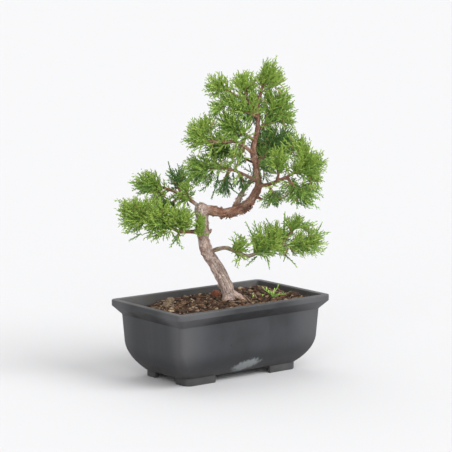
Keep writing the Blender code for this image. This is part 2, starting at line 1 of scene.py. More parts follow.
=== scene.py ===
# %% [markdown]
# # A young juniper bonsai in a plastic pot
# The tree is a juniper a few years old. Its trunk leans left, turns on a knuckle, runs level to the
# right and climbs again into the crown. It grows in coarse bark soil in a rectangular moulded pot.
# The solid model of every part is already fixed. This lesson keeps its sizes and places, and gives
# each part the shape and finish of the real thing, one part at a time.

# %% Load the fixed model
import math
import random

import bmesh
import bpy
import numpy as np
from mathutils import Matrix, Vector, kdtree, noise


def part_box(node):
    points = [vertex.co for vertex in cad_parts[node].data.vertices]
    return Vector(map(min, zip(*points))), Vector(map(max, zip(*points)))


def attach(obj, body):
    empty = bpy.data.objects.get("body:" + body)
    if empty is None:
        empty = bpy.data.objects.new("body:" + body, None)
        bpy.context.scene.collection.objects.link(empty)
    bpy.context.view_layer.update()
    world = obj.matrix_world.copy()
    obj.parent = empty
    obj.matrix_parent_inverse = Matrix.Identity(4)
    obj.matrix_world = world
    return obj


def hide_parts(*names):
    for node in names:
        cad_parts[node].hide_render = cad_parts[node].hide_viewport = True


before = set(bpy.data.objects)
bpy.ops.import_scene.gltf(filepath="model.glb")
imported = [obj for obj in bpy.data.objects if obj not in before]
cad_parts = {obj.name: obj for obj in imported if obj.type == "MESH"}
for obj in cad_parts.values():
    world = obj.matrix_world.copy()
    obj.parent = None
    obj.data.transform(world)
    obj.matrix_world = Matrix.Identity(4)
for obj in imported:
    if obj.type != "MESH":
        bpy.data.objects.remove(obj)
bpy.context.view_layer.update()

MM = 0.001

# %% [markdown]
# ## Working helpers
# Blender's operators act on whatever is selected, so each step first says which objects it means.
# A finished piece keeps its place in its mesh: its object sits at the origin, unturned. The last
# helper does that, gives the piece its finish, and hides the solid of the model that it stands for.


# %% Choosing, applying and finishing
def edit_mode():
    bpy.ops.object.mode_set(mode="EDIT")


def object_mode():
    bpy.ops.object.mode_set(mode="OBJECT")


def select_all():
    bpy.ops.mesh.select_all(action="SELECT")


def pick(*pieces):
    """Selects these objects and nothing else. The first one becomes the active object."""
    if bpy.context.object and bpy.context.object.mode != "OBJECT":
        object_mode()
    bpy.ops.object.select_all(action="DESELECT")
    for piece in pieces:
        piece.select_set(True)
    bpy.context.view_layer.objects.active = pieces[0]


def joined(pieces, name):
    pick(*pieces)
    if len(pieces) > 1:
        bpy.ops.object.join()
    pieces[0].name = name
    return pieces[0]


def apply_modifiers(piece):
    pick(piece)
    for modifier in list(piece.modifiers):
        bpy.ops.object.modifier_apply(modifier=modifier.name)


def boolean(piece, other, operation):
    """Joins other to the piece, or cuts it away, and removes it."""
    modifier = piece.modifiers.new("cut", "BOOLEAN")
    modifier.operation = operation
    modifier.object = other
    apply_modifiers(piece)
    bpy.data.objects.remove(other)


def face_outward(piece):
    """Makes every face of the piece look outwards."""
    pick(piece)
    edit_mode()
    select_all()
    bpy.ops.mesh.normals_make_consistent(inside=False)
    object_mode()


def finish(piece, name, slot, material, *nodes):
    """Names a piece, settles its place, paints it, and lets it ride on the model's one body."""
    pick(piece)
    bpy.ops.object.transform_apply(location=True, rotation=True, scale=True)
    piece.name = name
    piece.data.name = name
    piece.data.materials.clear()
    piece.data.materials.append(material)
    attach(piece, "root")
    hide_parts(*nodes)
    print(f"{name}: {len(piece.data.polygons)} faces")


# %% [markdown]
# ## Camera, floor and light
# The pot is seen from a little above, with its long side turned away to the right, through a long
# lens that keeps its edges almost parallel. The light is that of a small product studio: a bright
# room all round, one broad soft light on the right of the camera, a weaker one beside it, and one
# above and behind.

# %% Camera
CAMERA_PLACE = (-1.313, -1.686, 0.473)
CAMERA_TURN = -38.05
CAMERA_DOWN = 8.47
CAMERA_LENS = 165.4

tilt = (math.radians(90 - CAMERA_DOWN), 0, math.radians(CAMERA_TURN))
bpy.ops.object.camera_add(location=CAMERA_PLACE, rotation=tilt)
camera = bpy.context.object
camera.data.lens = CAMERA_LENS
camera.data.sensor_width = 36
bpy.context.scene.camera = camera
print("camera lens:", camera.data.lens)

# %% Floor and light
LAMPS = (  # where it shines from, softness in degrees, strength
    ((0.42, -0.76, 0.62), 45, 2.5),
    ((-1.00, -1.20, 0.50), 60, 1.8),
    ((0.25, 0.60, 1.40), 50, 0.8),
)
ROOM_LIGHT = 0.62


def add_lamp(place, softness, strength):
    """A far lamp, as broad in the sky as its softness, that lights the whole floor evenly."""
    aim = Vector(place).to_track_quat("Z", "Y").to_euler()
    bpy.ops.object.light_add(type="SUN", location=place, rotation=aim)
    lamp = bpy.context.object.data
    lamp.angle = math.radians(softness)
    lamp.energy = strength


for lamp_place, softness, strength in LAMPS:
    add_lamp(lamp_place, softness, strength)
room = bpy.data.worlds.new("room")
bpy.context.scene.world = room
room.use_nodes = True
room.node_tree.nodes["Background"].inputs["Color"].default_value = (1.0, 1.0, 1.0, 1.0)
room.node_tree.nodes["Background"].inputs["Strength"].default_value = ROOM_LIGHT
bpy.context.scene.view_settings.view_transform = "Standard"

bpy.ops.mesh.primitive_plane_add(size=80)
floor = bpy.context.object
floor.name = "floor"
print("lamps:", len(LAMPS))

# %% [markdown]
# ## A short way to write materials
# A material is a recipe of nodes. Written from the inside out, each step takes the results of
# earlier ones and hands back its own, so a finish reads as a few lines. The same helper fills a
# material and a reusable node group.


# %% Node recipes
class Recipe:
    """Writes nodes into one tree. Every method returns the output that the next step needs."""

    def __init__(self, tree):
        self.tree = tree

    def node(self, kind, inputs, **fields):
        made = self.tree.nodes.new("ShaderNode" + kind)
        for field, value in fields.items():
            setattr(made, field, value)
        for socket, value in inputs.items():
            if isinstance(value, bpy.types.NodeSocket):
                self.tree.links.new(value, made.inputs[socket])
            else:
                made.inputs[socket].default_value = value
        return made

    def place(self):
        return self.node("TexCoord", {}).outputs["Object"]

    def move(self, vector, location=(0, 0, 0), rotation=(0, 0, 0), scale=(1, 1, 1)):
        inputs = {"Vector": vector, "Location": location, "Rotation": rotation, "Scale": scale}
        return self.node("Mapping", inputs).outputs[0]

    def noise(self, vector, scale, detail=3.0, rough=0.5, warp=0.0):
        inputs = {"Vector": vector, "Scale": scale, "Detail": detail}
        inputs |= {"Roughness": rough, "Distortion": warp}
        return self.node("TexNoise", inputs).outputs[0]

    def cells(self, vector, scale, feature="F1"):
        inputs = {"Vector": vector, "Scale": scale}
        return self.node("TexVoronoi", inputs, feature=feature).outputs["Distance"]

    def span(self, value, low, high, to_low=0.0, to_high=1.0):
        """Turns low..high into to_low..to_high with soft ends, and holds it there."""
        inputs = {"Value": value, "From Min": low, "From Max": high}
        inputs |= {"To Min": to_low, "To Max": to_high}
        made = self.node("MapRange", inputs, interpolation_type="SMOOTHSTEP")
        return made.outputs[0]

    def math(self, operation, one, other=0.0):
        return self.node("Math", {0: one, 1: other}, operation=operation).outputs[0]

    def plus(self, one, other):
        return self.math("ADD", one, other)

    def times(self, one, other):
        return self.math("MULTIPLY", one, other)

    def mix(self, share, one, other):
        one = one if isinstance(one, bpy.types.NodeSocket) else (*one, 1.0)
        other = other if isinstance(other, bpy.types.NodeSocket) else (*other, 1.0)
        return self.node("Mix", {0: share, 6: one, 7: other}, data_type="RGBA").outputs[2]

    def coat(self, colour, over, mask, weight):
        """Lays another colour over the first where the mask is, as strongly as the weight says."""
        return self.mix(self.times(mask, weight), colour, over)

    def axes(self, vector):
        return self.node("SeparateXYZ", {0: vector}).outputs

    def group(self, tree, **inputs):
        named = {name.replace("_", " "): value for name, value in inputs.items()}
        return self.node("Group", named, node_tree=tree).outputs

    def bump(self, height, depth, strength=1.0):
        """depth is how high a full step of the height stands, in metres."""
        inputs = {"Height": height, "Distance": depth, "Strength": strength}
        return self.node("Bump", inputs).outputs[0]

    def finish(self, colour, rough, normal=None, **plain):
        """Feeds the material's Principled shader. plain sets its other sockets to fixed values."""
        shader = self.tree.nodes["Principled BSDF"]
        for socket, value in (("Base Color", colour), ("Roughness", rough), ("Normal", normal)):
            if isinstance(value, bpy.types.NodeSocket):
                self.tree.links.new(value, shader.inputs[socket])
            elif value is not None:
                shader.inputs[socket].default_value = value
        for socket, value in plain.items():
            shader.inputs[socket.replace("_", " ")].default_value = value


def new_material(name):
    material = bpy.data.materials.new(name)
    material.use_nodes = True
    return material, Recipe(material.node_tree)


def new_group(name, inputs, outputs):
    """A reusable effect. Returns its tree, its recipe, its inputs and its output node."""
    tree = bpy.data.node_groups.new(name, "ShaderNodeTree")
    for socket, kind in inputs.items():
        tree.interface.new_socket(socket, in_out="INPUT", socket_type="NodeSocket" + kind)
    for socket, kind in outputs.items():
        tree.interface.new_socket(socket, in_out="OUTPUT", socket_type="NodeSocket" + kind)
    start = tree.nodes.new("NodeGroupInput")
    end = tree.nodes.new("NodeGroupOutput")
    return tree, Recipe(tree), start.outputs, end


def give(recipe, end, **results):
    for socket, value in results.items():
        recipe.tree.links.new(value, end.inputs[socket.replace("_", " ")])


floor_paint, recipe = new_material("pale_floor")
recipe.finish((0.63, 0.63, 0.64, 1.0), 0.8)
floor.data.materials.append(floor_paint)
print("floor painted")

# %% [markdown]
# ## The pot
# The real pot is moulded from one shot of charcoal plastic: a thin shell with an overhanging rim,
# walls that curve in towards the base, and a low skirt of feet. It could be carved from a block
# with Booleans, but a shell has the same section all the way round, so it is built as a stack of
# level outlines that are bridged one after another, down the outside and up again inside. Each
# outline is a plane whose corners are rounded in edit mode.

# %% The pot's section, from its driving sizes
HALF_LENGTH = 100.0
HALF_WIDTH = 61.0
HEIGHT = 80.0
RIM_RADIUS = 7.0
BODY_RADIUS = 5.0
BODY_RADIUS_LOW = 14.0
LIP_BAND = 6.0
LIP_TOP = 7.0
LIP_OVERHANG = 8.2
LIP_UNDERCUT = 9.0
BELLY_RADIUS = 45.5
BELLY_TOP = 40.0
BELLY_INSET = 9.8
UNDERSIDE = 8.0
WALL = 2.2
UNDER_LIP = HEIGHT - LIP_BAND - LIP_UNDERCUT
CORNER_STEPS = 10
BELLY_STEPS = 12
STRAIGHT_LEVELS = (50.0, 58.0)  # two more levels above the belly, where the wall is straight


def wall_inset(z):
    """How far the body's outer wall stands in from the edge of the rim, at a height z."""
    if z >= BELLY_TOP:
        share = min((z - BELLY_TOP) / (UNDER_LIP - BELLY_TOP), 1.0)
        return BELLY_INSET + (LIP_OVERHANG - BELLY_INSET) * share
    drop = min(BELLY_TOP - z, BELLY_TOP - UNDERSIDE)
    return BELLY_INSET + BELLY_RADIUS - math.sqrt(BELLY_RADIUS**2 - drop**2)


def wall_radius(z):
    drop = max(BELLY_TOP - z, 0.0) / (BELLY_TOP - UNDERSIDE)
    return BODY_RADIUS + (BODY_RADIUS_LOW - BODY_RADIUS) * drop**2


def inner_inset(z):
    if z <= UNDER_LIP:
        return wall_inset(z) + WALL
    share = (z - UNDER_LIP) / (HEIGHT - UNDER_LIP)
    return LIP_OVERHANG + WALL + (LIP_TOP - LIP_OVERHANG - WALL) * share


def bent_route(start, corner, end, steps):
    """Points along the smooth bend from start to end that is drawn towards the corner."""
    shares = np.linspace(0, 1, steps + 1)[:, None]
    return start * (1 - shares) ** 2 + 2 * corner * shares * (1 - shares) + end * shares**2


def softened(corner, before, after, reach):
    """Points that round a corner of the section. Each point is (height, inset, corner radius)."""
    corner, before, after = (np.array(point, float) for point in (corner, before, after))
    start = corner + (before - corner) * reach / np.linalg.norm((before - corner)[:2])
    end = corner + (after - corner) * reach / np.linalg.norm((after - corner)[:2])
    return list(bent_route(start, corner, end, 3))


shares = [(step / BELLY_STEPS) ** 1.5 for step in range(BELLY_STEPS + 1)]
belly = [UNDERSIDE + (BELLY_TOP - UNDERSIDE) * share for share in shares]
outer = [(z, wall_inset(z), wall_radius(z)) for z in (*belly, *STRAIGHT_LEVELS)]
under_lip = (UNDER_LIP, LIP_OVERHANG, BODY_RADIUS)
band_low = (HEIGHT - LIP_BAND, 0.0, RIM_RADIUS)
rim_edge = (HEIGHT, 0.0, RIM_RADIUS)
rim_inside = (HEIGHT, LIP_TOP, BODY_RADIUS - WALL)
inner_top = (UNDER_LIP, inner_inset(UNDER_LIP), BODY_RADIUS - WALL)
section = [*outer, *softened(under_lip, outer[-1], band_low, 0.6)]
section += softened(band_low, under_lip, rim_edge, 0.5)
section += softened(rim_edge, band_low, rim_inside, 0.8)
section += softened(rim_inside, rim_edge, inner_top, 0.5)
section += [inner_top]
inside_levels = [z for z in reversed(belly) if z > UNDERSIDE + WALL]
section += [(z, inner_inset(z), max(wall_radius(z) - WALL, 1.0)) for z in inside_levels]
floor_level = UNDERSIDE + WALL
section.append((floor_level, inner_inset(floor_level) + 1.2, wall_radius(floor_level) - WALL))
print("levels in the section:", len(section))


# %% Outlines and the skin between them
def outline(half_x, half_y, radius, z, level, steps=CORNER_STEPS):
    """A level loop of edges with rounded corners. Its points remember which level they are on."""
    bpy.ops.mesh.primitive_plane_add(size=2 * MM, location=(0, 0, z * MM))
    loop = bpy.context.object
    edit_mode()
    bpy.ops.transform.resize(value=(half_x, half_y, 1))
    bpy.ops.mesh.bevel(offset=radius * MM, segments=steps, affect="VERTICES")
    bpy.ops.mesh.delete(type="ONLY_FACE")
    object_mode()
    marks = loop.data.attributes.new("level", "INT", "POINT")
    marks.data.foreach_set("value", [level] * len(loop.data.vertices))
    return loop


def select_levels(piece, *levels):
    """In edit mode, selects the points on these levels and the edges between them."""
    mesh = bmesh.from_edit_mesh(piece.data)
    marks = mesh.verts.layers.int["level"]
    bpy.ops.mesh.select_all(action="DESELECT")
    for vert in mesh.verts:
        vert.select = vert[marks] in levels
    for edge in mesh.edges:
        same = edge.verts[0][marks] == edge.verts[1][marks]
        edge.select = same and all(vert.select for vert in edge.verts)
    bmesh.update_edit_mesh(piece.data)


def bridge(loops, name, capped):
    """Skins a stack of outlines. A capped stack is closed at both ends, and the other is a ring."""
    piece = joined(loops, name)
    edit_mode()
    bpy.ops.mesh.select_mode(type="EDGE")
    levels = len(loops)
    pairs = [(level, level + 1) for level in range(levels - 1)]
    if not capped:
        pairs.append((levels - 1, 0))
    for pair in pairs:
        select_levels(piece, *pair)
        bpy.ops.mesh.bridge_edge_loops()
    if capped:
        for level in (0, levels - 1):
            select_levels(piece, level)
            bpy.ops.mesh.edge_face_add()
    face_outward(piece)
    return piece


rings = [
    outline(HALF_LENGTH - inset, HALF_WIDTH - inset, radius, z, level)
    for level, (z, inset, radius) in enumerate(section)
]
pot = bridge(rings, "pot_shell", capped=True)
print("shell faces:", len(pot.data.polygons))

# %% [markdown]
# The feet are what is left of a low skirt after wide openings are cut through it both ways. The
# skirt is another bridged stack, closed into a ring. Two bars cut the openings, and the skirt is
# joined to the shell with a Boolean, so that the pot stays one moulding. Two round drainage holes
# go through the base.

# %% Feet and drainage holes
FOOT_REACH = (73.0, 37.5)
FOOT_GAP = (36.0, 18.0)
FOOT_WALL = 4.0
FOOT_RADIUS = 9.0
DRAIN_RADIUS = 6.0
DRAIN_OFFSET = 45.0
FOOT_SOFT = 0.5

foot_inside = FOOT_RADIUS - FOOT_WALL
foot_top = UNDERSIDE + WALL / 2
skirt_section = [
    (foot_top, 0.0, FOOT_RADIUS),
    (FOOT_SOFT, 0.0, FOOT_RADIUS),
    (0.0, FOOT_SOFT, FOOT_RADIUS - FOOT_SOFT),
    (0.0, FOOT_WALL - FOOT_SOFT, foot_inside + FOOT_SOFT),
    (FOOT_SOFT, FOOT_WALL, foot_inside),
    (foot_top, FOOT_WALL, foot_inside),
]
skirt_rings = [
    outline(FOOT_REACH[0] - inset, FOOT_REACH[1] - inset, radius, z, level)
    for level, (z, inset, radius) in enumerate(skirt_section)
]
skirt = bridge(skirt_rings, "skirt", capped=False)


def opening_bar(half_x, half_y):
    """A plain bar that cuts one pair of openings through the skirt, up to the pot's underside."""
    bpy.ops.mesh.primitive_cube_add(size=2 * MM)
    bar = bpy.context.object
    edit_mode()
    bpy.ops.transform.resize(value=(half_x, half_y, UNDERSIDE))
    object_mode()
    return bar


for half_x, half_y in ((FOOT_GAP[0], HALF_WIDTH), (HALF_LENGTH, FOOT_GAP[1])):
    boolean(skirt, opening_bar(half_x, half_y), "DIFFERENCE")
pick(skirt)
worn = skirt.modifiers.new("worn", "BEVEL")
worn.width = FOOT_SOFT * MM
worn.segments = 2
worn.limit_method = "ANGLE"
worn.angle_limit = math.radians(50)
apply_modifiers(skirt)
boolean(pot, skirt, "UNION")
for side in (-1, 1):
    bpy.ops.mesh.primitive_cylinder_add(
        vertices=40,
        radius=DRAIN_RADIUS * MM,
        depth=4 * WALL * MM,
        location=(side * DRAIN_OFFSET * MM, 0, floor_level * MM),
    )
    boolean(pot, bpy.context.object, "DIFFERENCE")
pick(pot)
bpy.ops.object.shade_smooth_by_angle(angle=math.radians(35))
print("pot faces:", len(pot.data.polygons))

# %% [markdown]
# ### Charcoal plastic
# The pot is not one flat grey. Its skin has a fine moulded grain and cloudy patches where the
# plastic flowed. The flat top of the rim gets a painted highlight, broken by the grain like rubbing.
# The inside is stained by wet soil, the base is dusty, and the long front side has a chalky scuff
# low down with a smear beside it. Painted shade darkens the faces that look down, most under the
# rim, and a painted sheen lightens the pot near its four upright corners.
# The patches, the grain and the streaks are one reusable effect: other finishes use it too.

# %% Cloudiness as a reusable effect
cloudy_group, recipe, given, end = new_group(
    "cloudy_patches",
    {"Vector": "Vector", "Patch Scale": "Float", "Grain Scale": "Float"},
    {"Patches": "Float", "Grain": "Float", "Streaks": "Float"},
)
patches = recipe.noise(given["Vector"], given["Patch Scale"], detail=4.0, rough=0.55, warp=0.4)
grain = recipe.noise(given["Vector"], given["Grain Scale"], detail=2.0)
upright = recipe.move(given["Vector"], scale=(1.0, 1.0, 0.08))
streaks = recipe.noise(upright, given["Patch Scale"], detail=5.0, rough=0.7)
patches, streaks = recipe.span(patches, 0.33, 0.68), recipe.span(streaks, 0.5, 0.75)
give(recipe, end, Patches=patches, Grain=grain, Streaks=streaks)
print("made", cloudy_group.name)

# %% The pot's finish
SCUFF_PLACE = (-3.0, -45.0, 14.0)
SMEAR_PLACE = (24.0, -47.0, 22.0)
MARK_PLACE = (-26.7, -51.0, 40.0)


def patch_mask(recipe, centre, reach, slope, torn_scale, tear):
    """A soft oval patch on the pot's front, with an edge torn by noise, in mm and degrees."""
    inputs = {"Vector": recipe.place(), "Center": Vector(centre) * MM, "Angle": math.radians(slope)}
    turned = recipe.node("VectorRotate", inputs, rotation_type="Y_AXIS").outputs[0]
    scale = [1 / (size * MM) for size in reach]
    location = [-place / size for place, size in zip(centre, reach)]
    local = recipe.move(turned, location=location, scale=scale)
    far = recipe.node("VectorMath", {0: local}, operation="LENGTH").outputs["Value"]
    torn = recipe.noise(recipe.place(), torn_scale, detail=6.0, rough=0.7)
    edge = recipe.plus(far, recipe.times(recipe.math("SUBTRACT", torn, 0.5), tear))
    return recipe.span(edge, 1.0, 0.45)


pot_plastic, recipe = new_material("charcoal_plastic")
cloud = recipe.group(cloudy_group, Vector=recipe.place(), Patch_Scale=26.0, Grain_Scale=1500.0)
x, y, z = recipe.axes(recipe.place())
colour = recipe.mix(cloud["Patches"], (0.021, 0.022, 0.024), (0.032, 0.034, 0.038))
colour = recipe.coat(colour, (0.055, 0.058, 0.063), cloud["Streaks"], 0.25)
scuff = patch_mask(recipe, SCUFF_PLACE, (23.0, 10.0, 8.0), 13, 240.0, 1.8)
smear = patch_mask(recipe, SMEAR_PLACE, (26.0, 14.0, 9.0), -8, 90.0, 1.6)
mark = patch_mask(recipe, MARK_PLACE, (1.8, 8.0, 1.3), 0, 600.0, 0.5)
colour = recipe.coat(colour, (0.028, 0.032, 0.035), smear, 0.5)
colour = recipe.coat(colour, (0.36, 0.39, 0.40), scuff, 0.9)
colour = recipe.coat(colour, (0.014, 0.014, 0.015), mark, 0.8)
dusty = recipe.times(recipe.span(z, 0.030, 0.004), recipe.noise(recipe.place(), 140.0, detail=5.0))
colour = recipe.coat(colour, (0.10, 0.095, 0.09), dusty, 0.55)
# Painted highlight: the rim's flat top is lightened as if lit from above, broken by the grain like rubbing.
rim_highlight_and_wear = recipe.times(recipe.span(z, 0.0786, 0.0800), recipe.span(cloud["Grain"], 0.25, 0.6, 0.45, 1.0))
colour = recipe.coat(colour, (0.13, 0.125, 0.12), rim_highlight_and_wear, 0.25)
facing = recipe.node("NewGeometry", {}).outputs["Normal"]
# Painted shade: faces that look down below the rim top are darkened, most under the rim and less on the lower
# curve.
facing_down = recipe.span(recipe.axes(facing)[2], -0.12, -0.45)
painted_shade_below = recipe.times(facing_down, recipe.span(z, 0.0795, 0.078))
colour = recipe.coat(colour, (0.004, 0.004, 0.005), painted_shade_below, recipe.span(z, 0.052, 0.060, 0.4, 0.92))
# Painted sheen: the pot is lightened near its four upright corners, more towards the top.
far_out = recipe.plus(recipe.math("ABSOLUTE", x), recipe.times(recipe.math("ABSOLUTE", y), 1.64))
corner_sheen = recipe.times(recipe.span(far_out, 0.130, 0.172), recipe.span(z, 0.012, 0.045, 0.3, 1.0))
colour = recipe.coat(colour, (0.10, 0.10, 0.105), corner_sheen, 0.55)
level = recipe.node("VectorMath", {0: recipe.place(), 1: (1.0, 1.0, 0.0)}, operation="MULTIPLY").outputs[0]
outward = recipe.node("VectorMath", {0: facing, 1: level}, operation="DOT_PRODUCT").outputs["Value"]
inside = recipe.span(outward, -0.004, -0.02)
wetness = recipe.noise(recipe.place(), 60.0, detail=6.0, rough=0.7)
stained = recipe.times(inside, recipe.span(wetness, 0.35, 0.65, 0.2, 0.9))
colour = recipe.mix(stained, colour, (0.055, 0.049, 0.042))
rough = recipe.plus(recipe.span(cloud["Patches"], 0.0, 1.0, 0.40, 0.54), recipe.times(scuff, 0.3))
rough = recipe.plus(rough, recipe.times(stained, 0.25))
height = recipe.plus(cloud["Grain"], recipe.times(cloud["Patches"], 2.0))
recipe.finish(colour, rough, recipe.bump(height, 0.00012, 0.5), Specular_IOR_Level=0.36)
finish(pot, "pot_body", "pot_plastic", pot_plastic, "pot")

# %% [markdown]
# ## Screens over the drainage holes
# A square of black plastic mesh lies over each hole inside the pot, so that the soil stays in. Only
# its wires show, from below. A grid gets a Wireframe modifier, which turns each edge into a bar.

# %% The two screens
SCREEN_SIZE = 20.0
SCREEN_CELLS = 10
SCREEN_WIRE = 0.8

screen_plastic, recipe = new_material("screen_plastic")
cloud = recipe.group(cloudy_group, Vector=recipe.place(), Patch_Scale=120.0, Grain_Scale=1800.0)
colour = recipe.mix(cloud["Patches"], (0.022, 0.022, 0.023), (0.06, 0.05, 0.04))
recipe.finish(colour, recipe.span(cloud["Grain"], 0.0, 1.0, 0.45, 0.75), recipe.bump(cloud["Grain"], 0.00008))

for side_name, side in (("left", -1), ("right", 1)):
    node = f"drainage_mesh_{side_name}"
    middle = sum(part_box(node), Vector()) / 2
    bpy.ops.mesh.primitive_grid_add(
        x_subdivisions=SCREEN_CELLS, y_subdivisions=SCREEN_CELLS, size=SCREEN_SIZE * MM, location=middle
    )
    screen = bpy.context.object
    wires = screen.modifiers.new("wires", "WIREFRAME")
    wires.thickness = SCREEN_WIRE * MM
    wires.use_even_offset = False
    wires.use_boundary = True
    apply_modifiers(screen)
    finish(screen, f"drainage_screen_{side_name}", "screen_plastic", screen_plastic, node)

# %% [markdown]
# ## The tree's wood
# A tree of this kind was trained with wire: each limb is a smooth bend between a few places that
# the grower chose. So the wood starts as a list of such places for every limb, with the limb's
# thickness there. They are in the tree's own frame, in millimetres: X to the tree's right, Y to its
# back, Z up, from where the trunk leaves the soil.

# %% Where every limb runs
TREE_FOOT = (12.0, 0.0, 72.0)
TREE_TURN = -38.0

LOWER_TRUNK = (
    (2, 0, -30, 7), (1, 0, -14, 12), (0, 0, -3, 17), (-1, 0, 5, 14.5), (-3, 0, 15, 13.5),
    (-8, 1, 27, 13.5), (-16, 2, 41, 13.5), (-23.5, 2, 53, 13), (-27.5, 1, 66, 12.5), (-28.5, 0, 78, 13),
    (-29, -2, 91, 13), (-29.5, -4, 98, 14.5), (-29.5, -4, 102, 13.5), (-29.5, -4, 105, 9.5),
    (-29.5, -4, 107, 4),
)
UPPER_TRUNK = (
    (-32, -4, 100, 9), (-21, -4, 99, 11), (-7, -2, 96, 9.5), (6, 2, 98, 9.5), (18, 6, 104, 9),
    (26, 8, 114, 8.5), (30, 8, 124, 8), (28, 6, 137, 7), (26, 4, 149, 6), (24, 2, 158, 6.5),
    (25, 0, 169, 5.5), (28, 0, 181, 5), (29, 1, 193, 4.5), (28, 2, 205, 4), (30, 3, 215, 3.5),
    (33, 4, 225, 3), (36, 4, 236, 2.5),
)
ROOTS = (
    ((0, 0, 2, 9), (9, -3, -4, 8), (18, -7, -14, 5)),
    ((0, 0, 2, 9), (-8, -5, -4, 8), (-15, -12, -14, 5)),
    ((0, 0, 2, 9), (-3, 9, -5, 8), (-6, 19, -15, 5)),
)
BRANCHES = {
    "right_low": (
        (-21, 2, 54, 5), (-12, -6, 58.5, 4.5), (-3, -10, 60, 4.2), (8, -15, 56, 4), (20, -18, 53, 4),
        (34, -16, 59, 3.5), (52, -14, 63, 3), (72, -12, 65, 2.5), (88, -11, 68, 2),
    ),
    "right_low_upper": ((52, -14, 63, 3), (61, -10, 73, 2.5), (67, -8, 81, 2)),
    "right_low_back": ((34, -16, 59, 3), (42, 2, 62, 2.5), (50, 14, 65, 2)),
    "left_low": (
        (-30, 0, 75, 5), (-41, -8, 77, 4.2), (-52, -14, 78, 4), (-60, -19, 82, 3.5), (-74, -23, 87, 3),
        (-86, -23, 89, 2.5), (-98, -22, 91, 2),
    ),
    "left_inner": ((-52, -14, 78, 3), (-52, -20, 86, 2.2)),
    "left_high": (
        (-30, -3, 101, 5), (-40, 6, 107, 4), (-51, 14, 113, 3.5), (-66, 14, 119, 3), (-82, 14, 124, 2.2),
    ),
    "left_back": ((-51, 14, 113, 3), (-54, 24, 118, 2.5), (-55, 31, 122, 2)),
    "left_behind": ((-51, 14, 113, 3), (-59, 22, 105, 2.5), (-68, 26, 98, 2)),
    "left_knuckle": ((-40, 6, 107, 3.6), (-43, 3, 112, 2.6), (-45, 1, 117, 2)),
    "trunk_tuft": ((-29, 1, 69, 3.5), (-31, -9, 70, 2.5), (-32, -13, 77, 2)),
    "crown_left_low": (
        (28, 6, 129, 4), (21, 5, 132, 3.5), (11, 3, 137, 3.2), (0, 2, 141, 3), (-14, 4, 142, 2.5),
        (-29, 7, 142, 2),
    ),
    "crown_hanging": ((0, 2, 141, 2.5), (-4, 9, 134, 2.2), (-6, 14, 127, 1.8)),
    "crown_inner_low": ((11, 3, 137, 2.8), (12, 6, 132, 2.3), (12, 8, 128, 1.8)),
    "crown_left_mid": (
        (24, 2, 157, 4), (16, -5, 165, 3.5), (6, -11, 171, 3.2), (-6, -15, 172, 3), (-17, -16, 172, 2.5),
        (-28, -15, 174, 2),
    ),
    "crown_centre": ((26, 0, 172, 3.5), (14, -5, 178, 2.5), (4, -9, 183, 2)),
    "crown_top_left": (
        (28, 2, 204, 3.5), (19, -2, 210, 3), (8, -7, 218, 2.5), (-2, -9, 223, 2.2), (-11, -10, 226, 2),
    ),
    "crown_top_middle": ((19, -2, 210, 2.6), (17, -1, 218, 2.2), (15, 0, 225, 2)),
    "crown_left_upper": ((8, -7, 218, 2.4), (-2, -9, 212, 2.2), (-10, -10, 207, 1.8)),
    "crown_front_upper": ((28, 1, 196, 3), (20, -5, 200, 2.5), (13, -9, 204, 2)),
    "crown_upper_right": ((28, 0, 182, 3.5), (38, 5, 190, 2.8), (48, 9, 199, 2)),
    "crown_middle_right": ((27, 5, 146, 4), (38, 13, 155, 3), (48, 20, 162, 2.2)),
    "crown_right": (
        (30, 8, 123, 4.5), (39, 0, 125, 4), (48, -10, 130, 3.5), (58, -16, 135, 3), (69, -18, 141, 2.5),
        (79, -17, 145, 2),
    ),
    "crown_right_inner": ((48, -10, 130, 3), (50, -15, 138, 2.5), (50, -18, 145, 2)),
    "crown_right_low": ((58, -16, 135, 3), (66, -14, 126, 2.5), (72, -12, 120, 2)),
    "crown_right_under": ((39, 0, 125, 3.2), (43, -2, 120, 2.5), (46, -3, 115, 2)),
    "crown_back": (
        (3, 2, 98, 5.5), (10, 14, 110, 5), (16, 21, 119, 4.5), (24, 29, 128, 4), (29, 35, 142, 3),
        (34, 39, 155, 2.2),
    ),
    "crown_back_left": ((29, 35, 142, 3), (12, 35, 150, 2.5), (-5, 32, 157, 2)),
    "crown_back_top": ((29, 1, 193, 3), (26, 14, 197, 2.5), (23, 28, 200, 2)),
}
# Short stubs, where twigs were pruned away.
STUBS = {
    "stub_low": ((-23, 1, 50, 5), (-28, -3, 52, 3.6), (-30, -4, 54, 2.6)),
    "stub_side": ((-26, 0, 72, 5), (-21, -3, 76, 3.4), (-20, -4, 79, 2.4)),
    "stub_level": ((-8, -2, 97, 5), (-9, -5, 101, 3.0), (-9, -6, 102.5, 2.4)),
    "stub_bend": ((26, 8, 112, 5), (31, 6, 110, 3.2), (33, 5, 109, 2.6)),
    "stub_high": ((26, 4, 149, 4.5), (23, 0, 151, 2.6), (22, -1, 153, 2.0)),
}
SURFACE_ROOTS = (
    ((0, 0, 11, 10), (6, -1, 8.5, 7.5), (12, -2, 6, 5.5), (18, -3, 1, 3.6)),
    ((0, 0, 3, 8), (4, 6, 0, 6), (7, 12, -2, 4), (9, 18, -6, 3)),
    ((0, 0, 8, 9), (-4, -5, 5, 7), (-8, -10, 2, 5), (-12, -14, -3, 3.5)),
)
limbs = {"trunk_lower": LOWER_TRUNK, "trunk_upper": UPPER_TRUNK, **BRANCHES, **STUBS}
limbs |= {f"root_{number}": route for number, route in enumerate((*ROOTS, *SURFACE_ROOTS))}
print("limbs:", len(limbs))


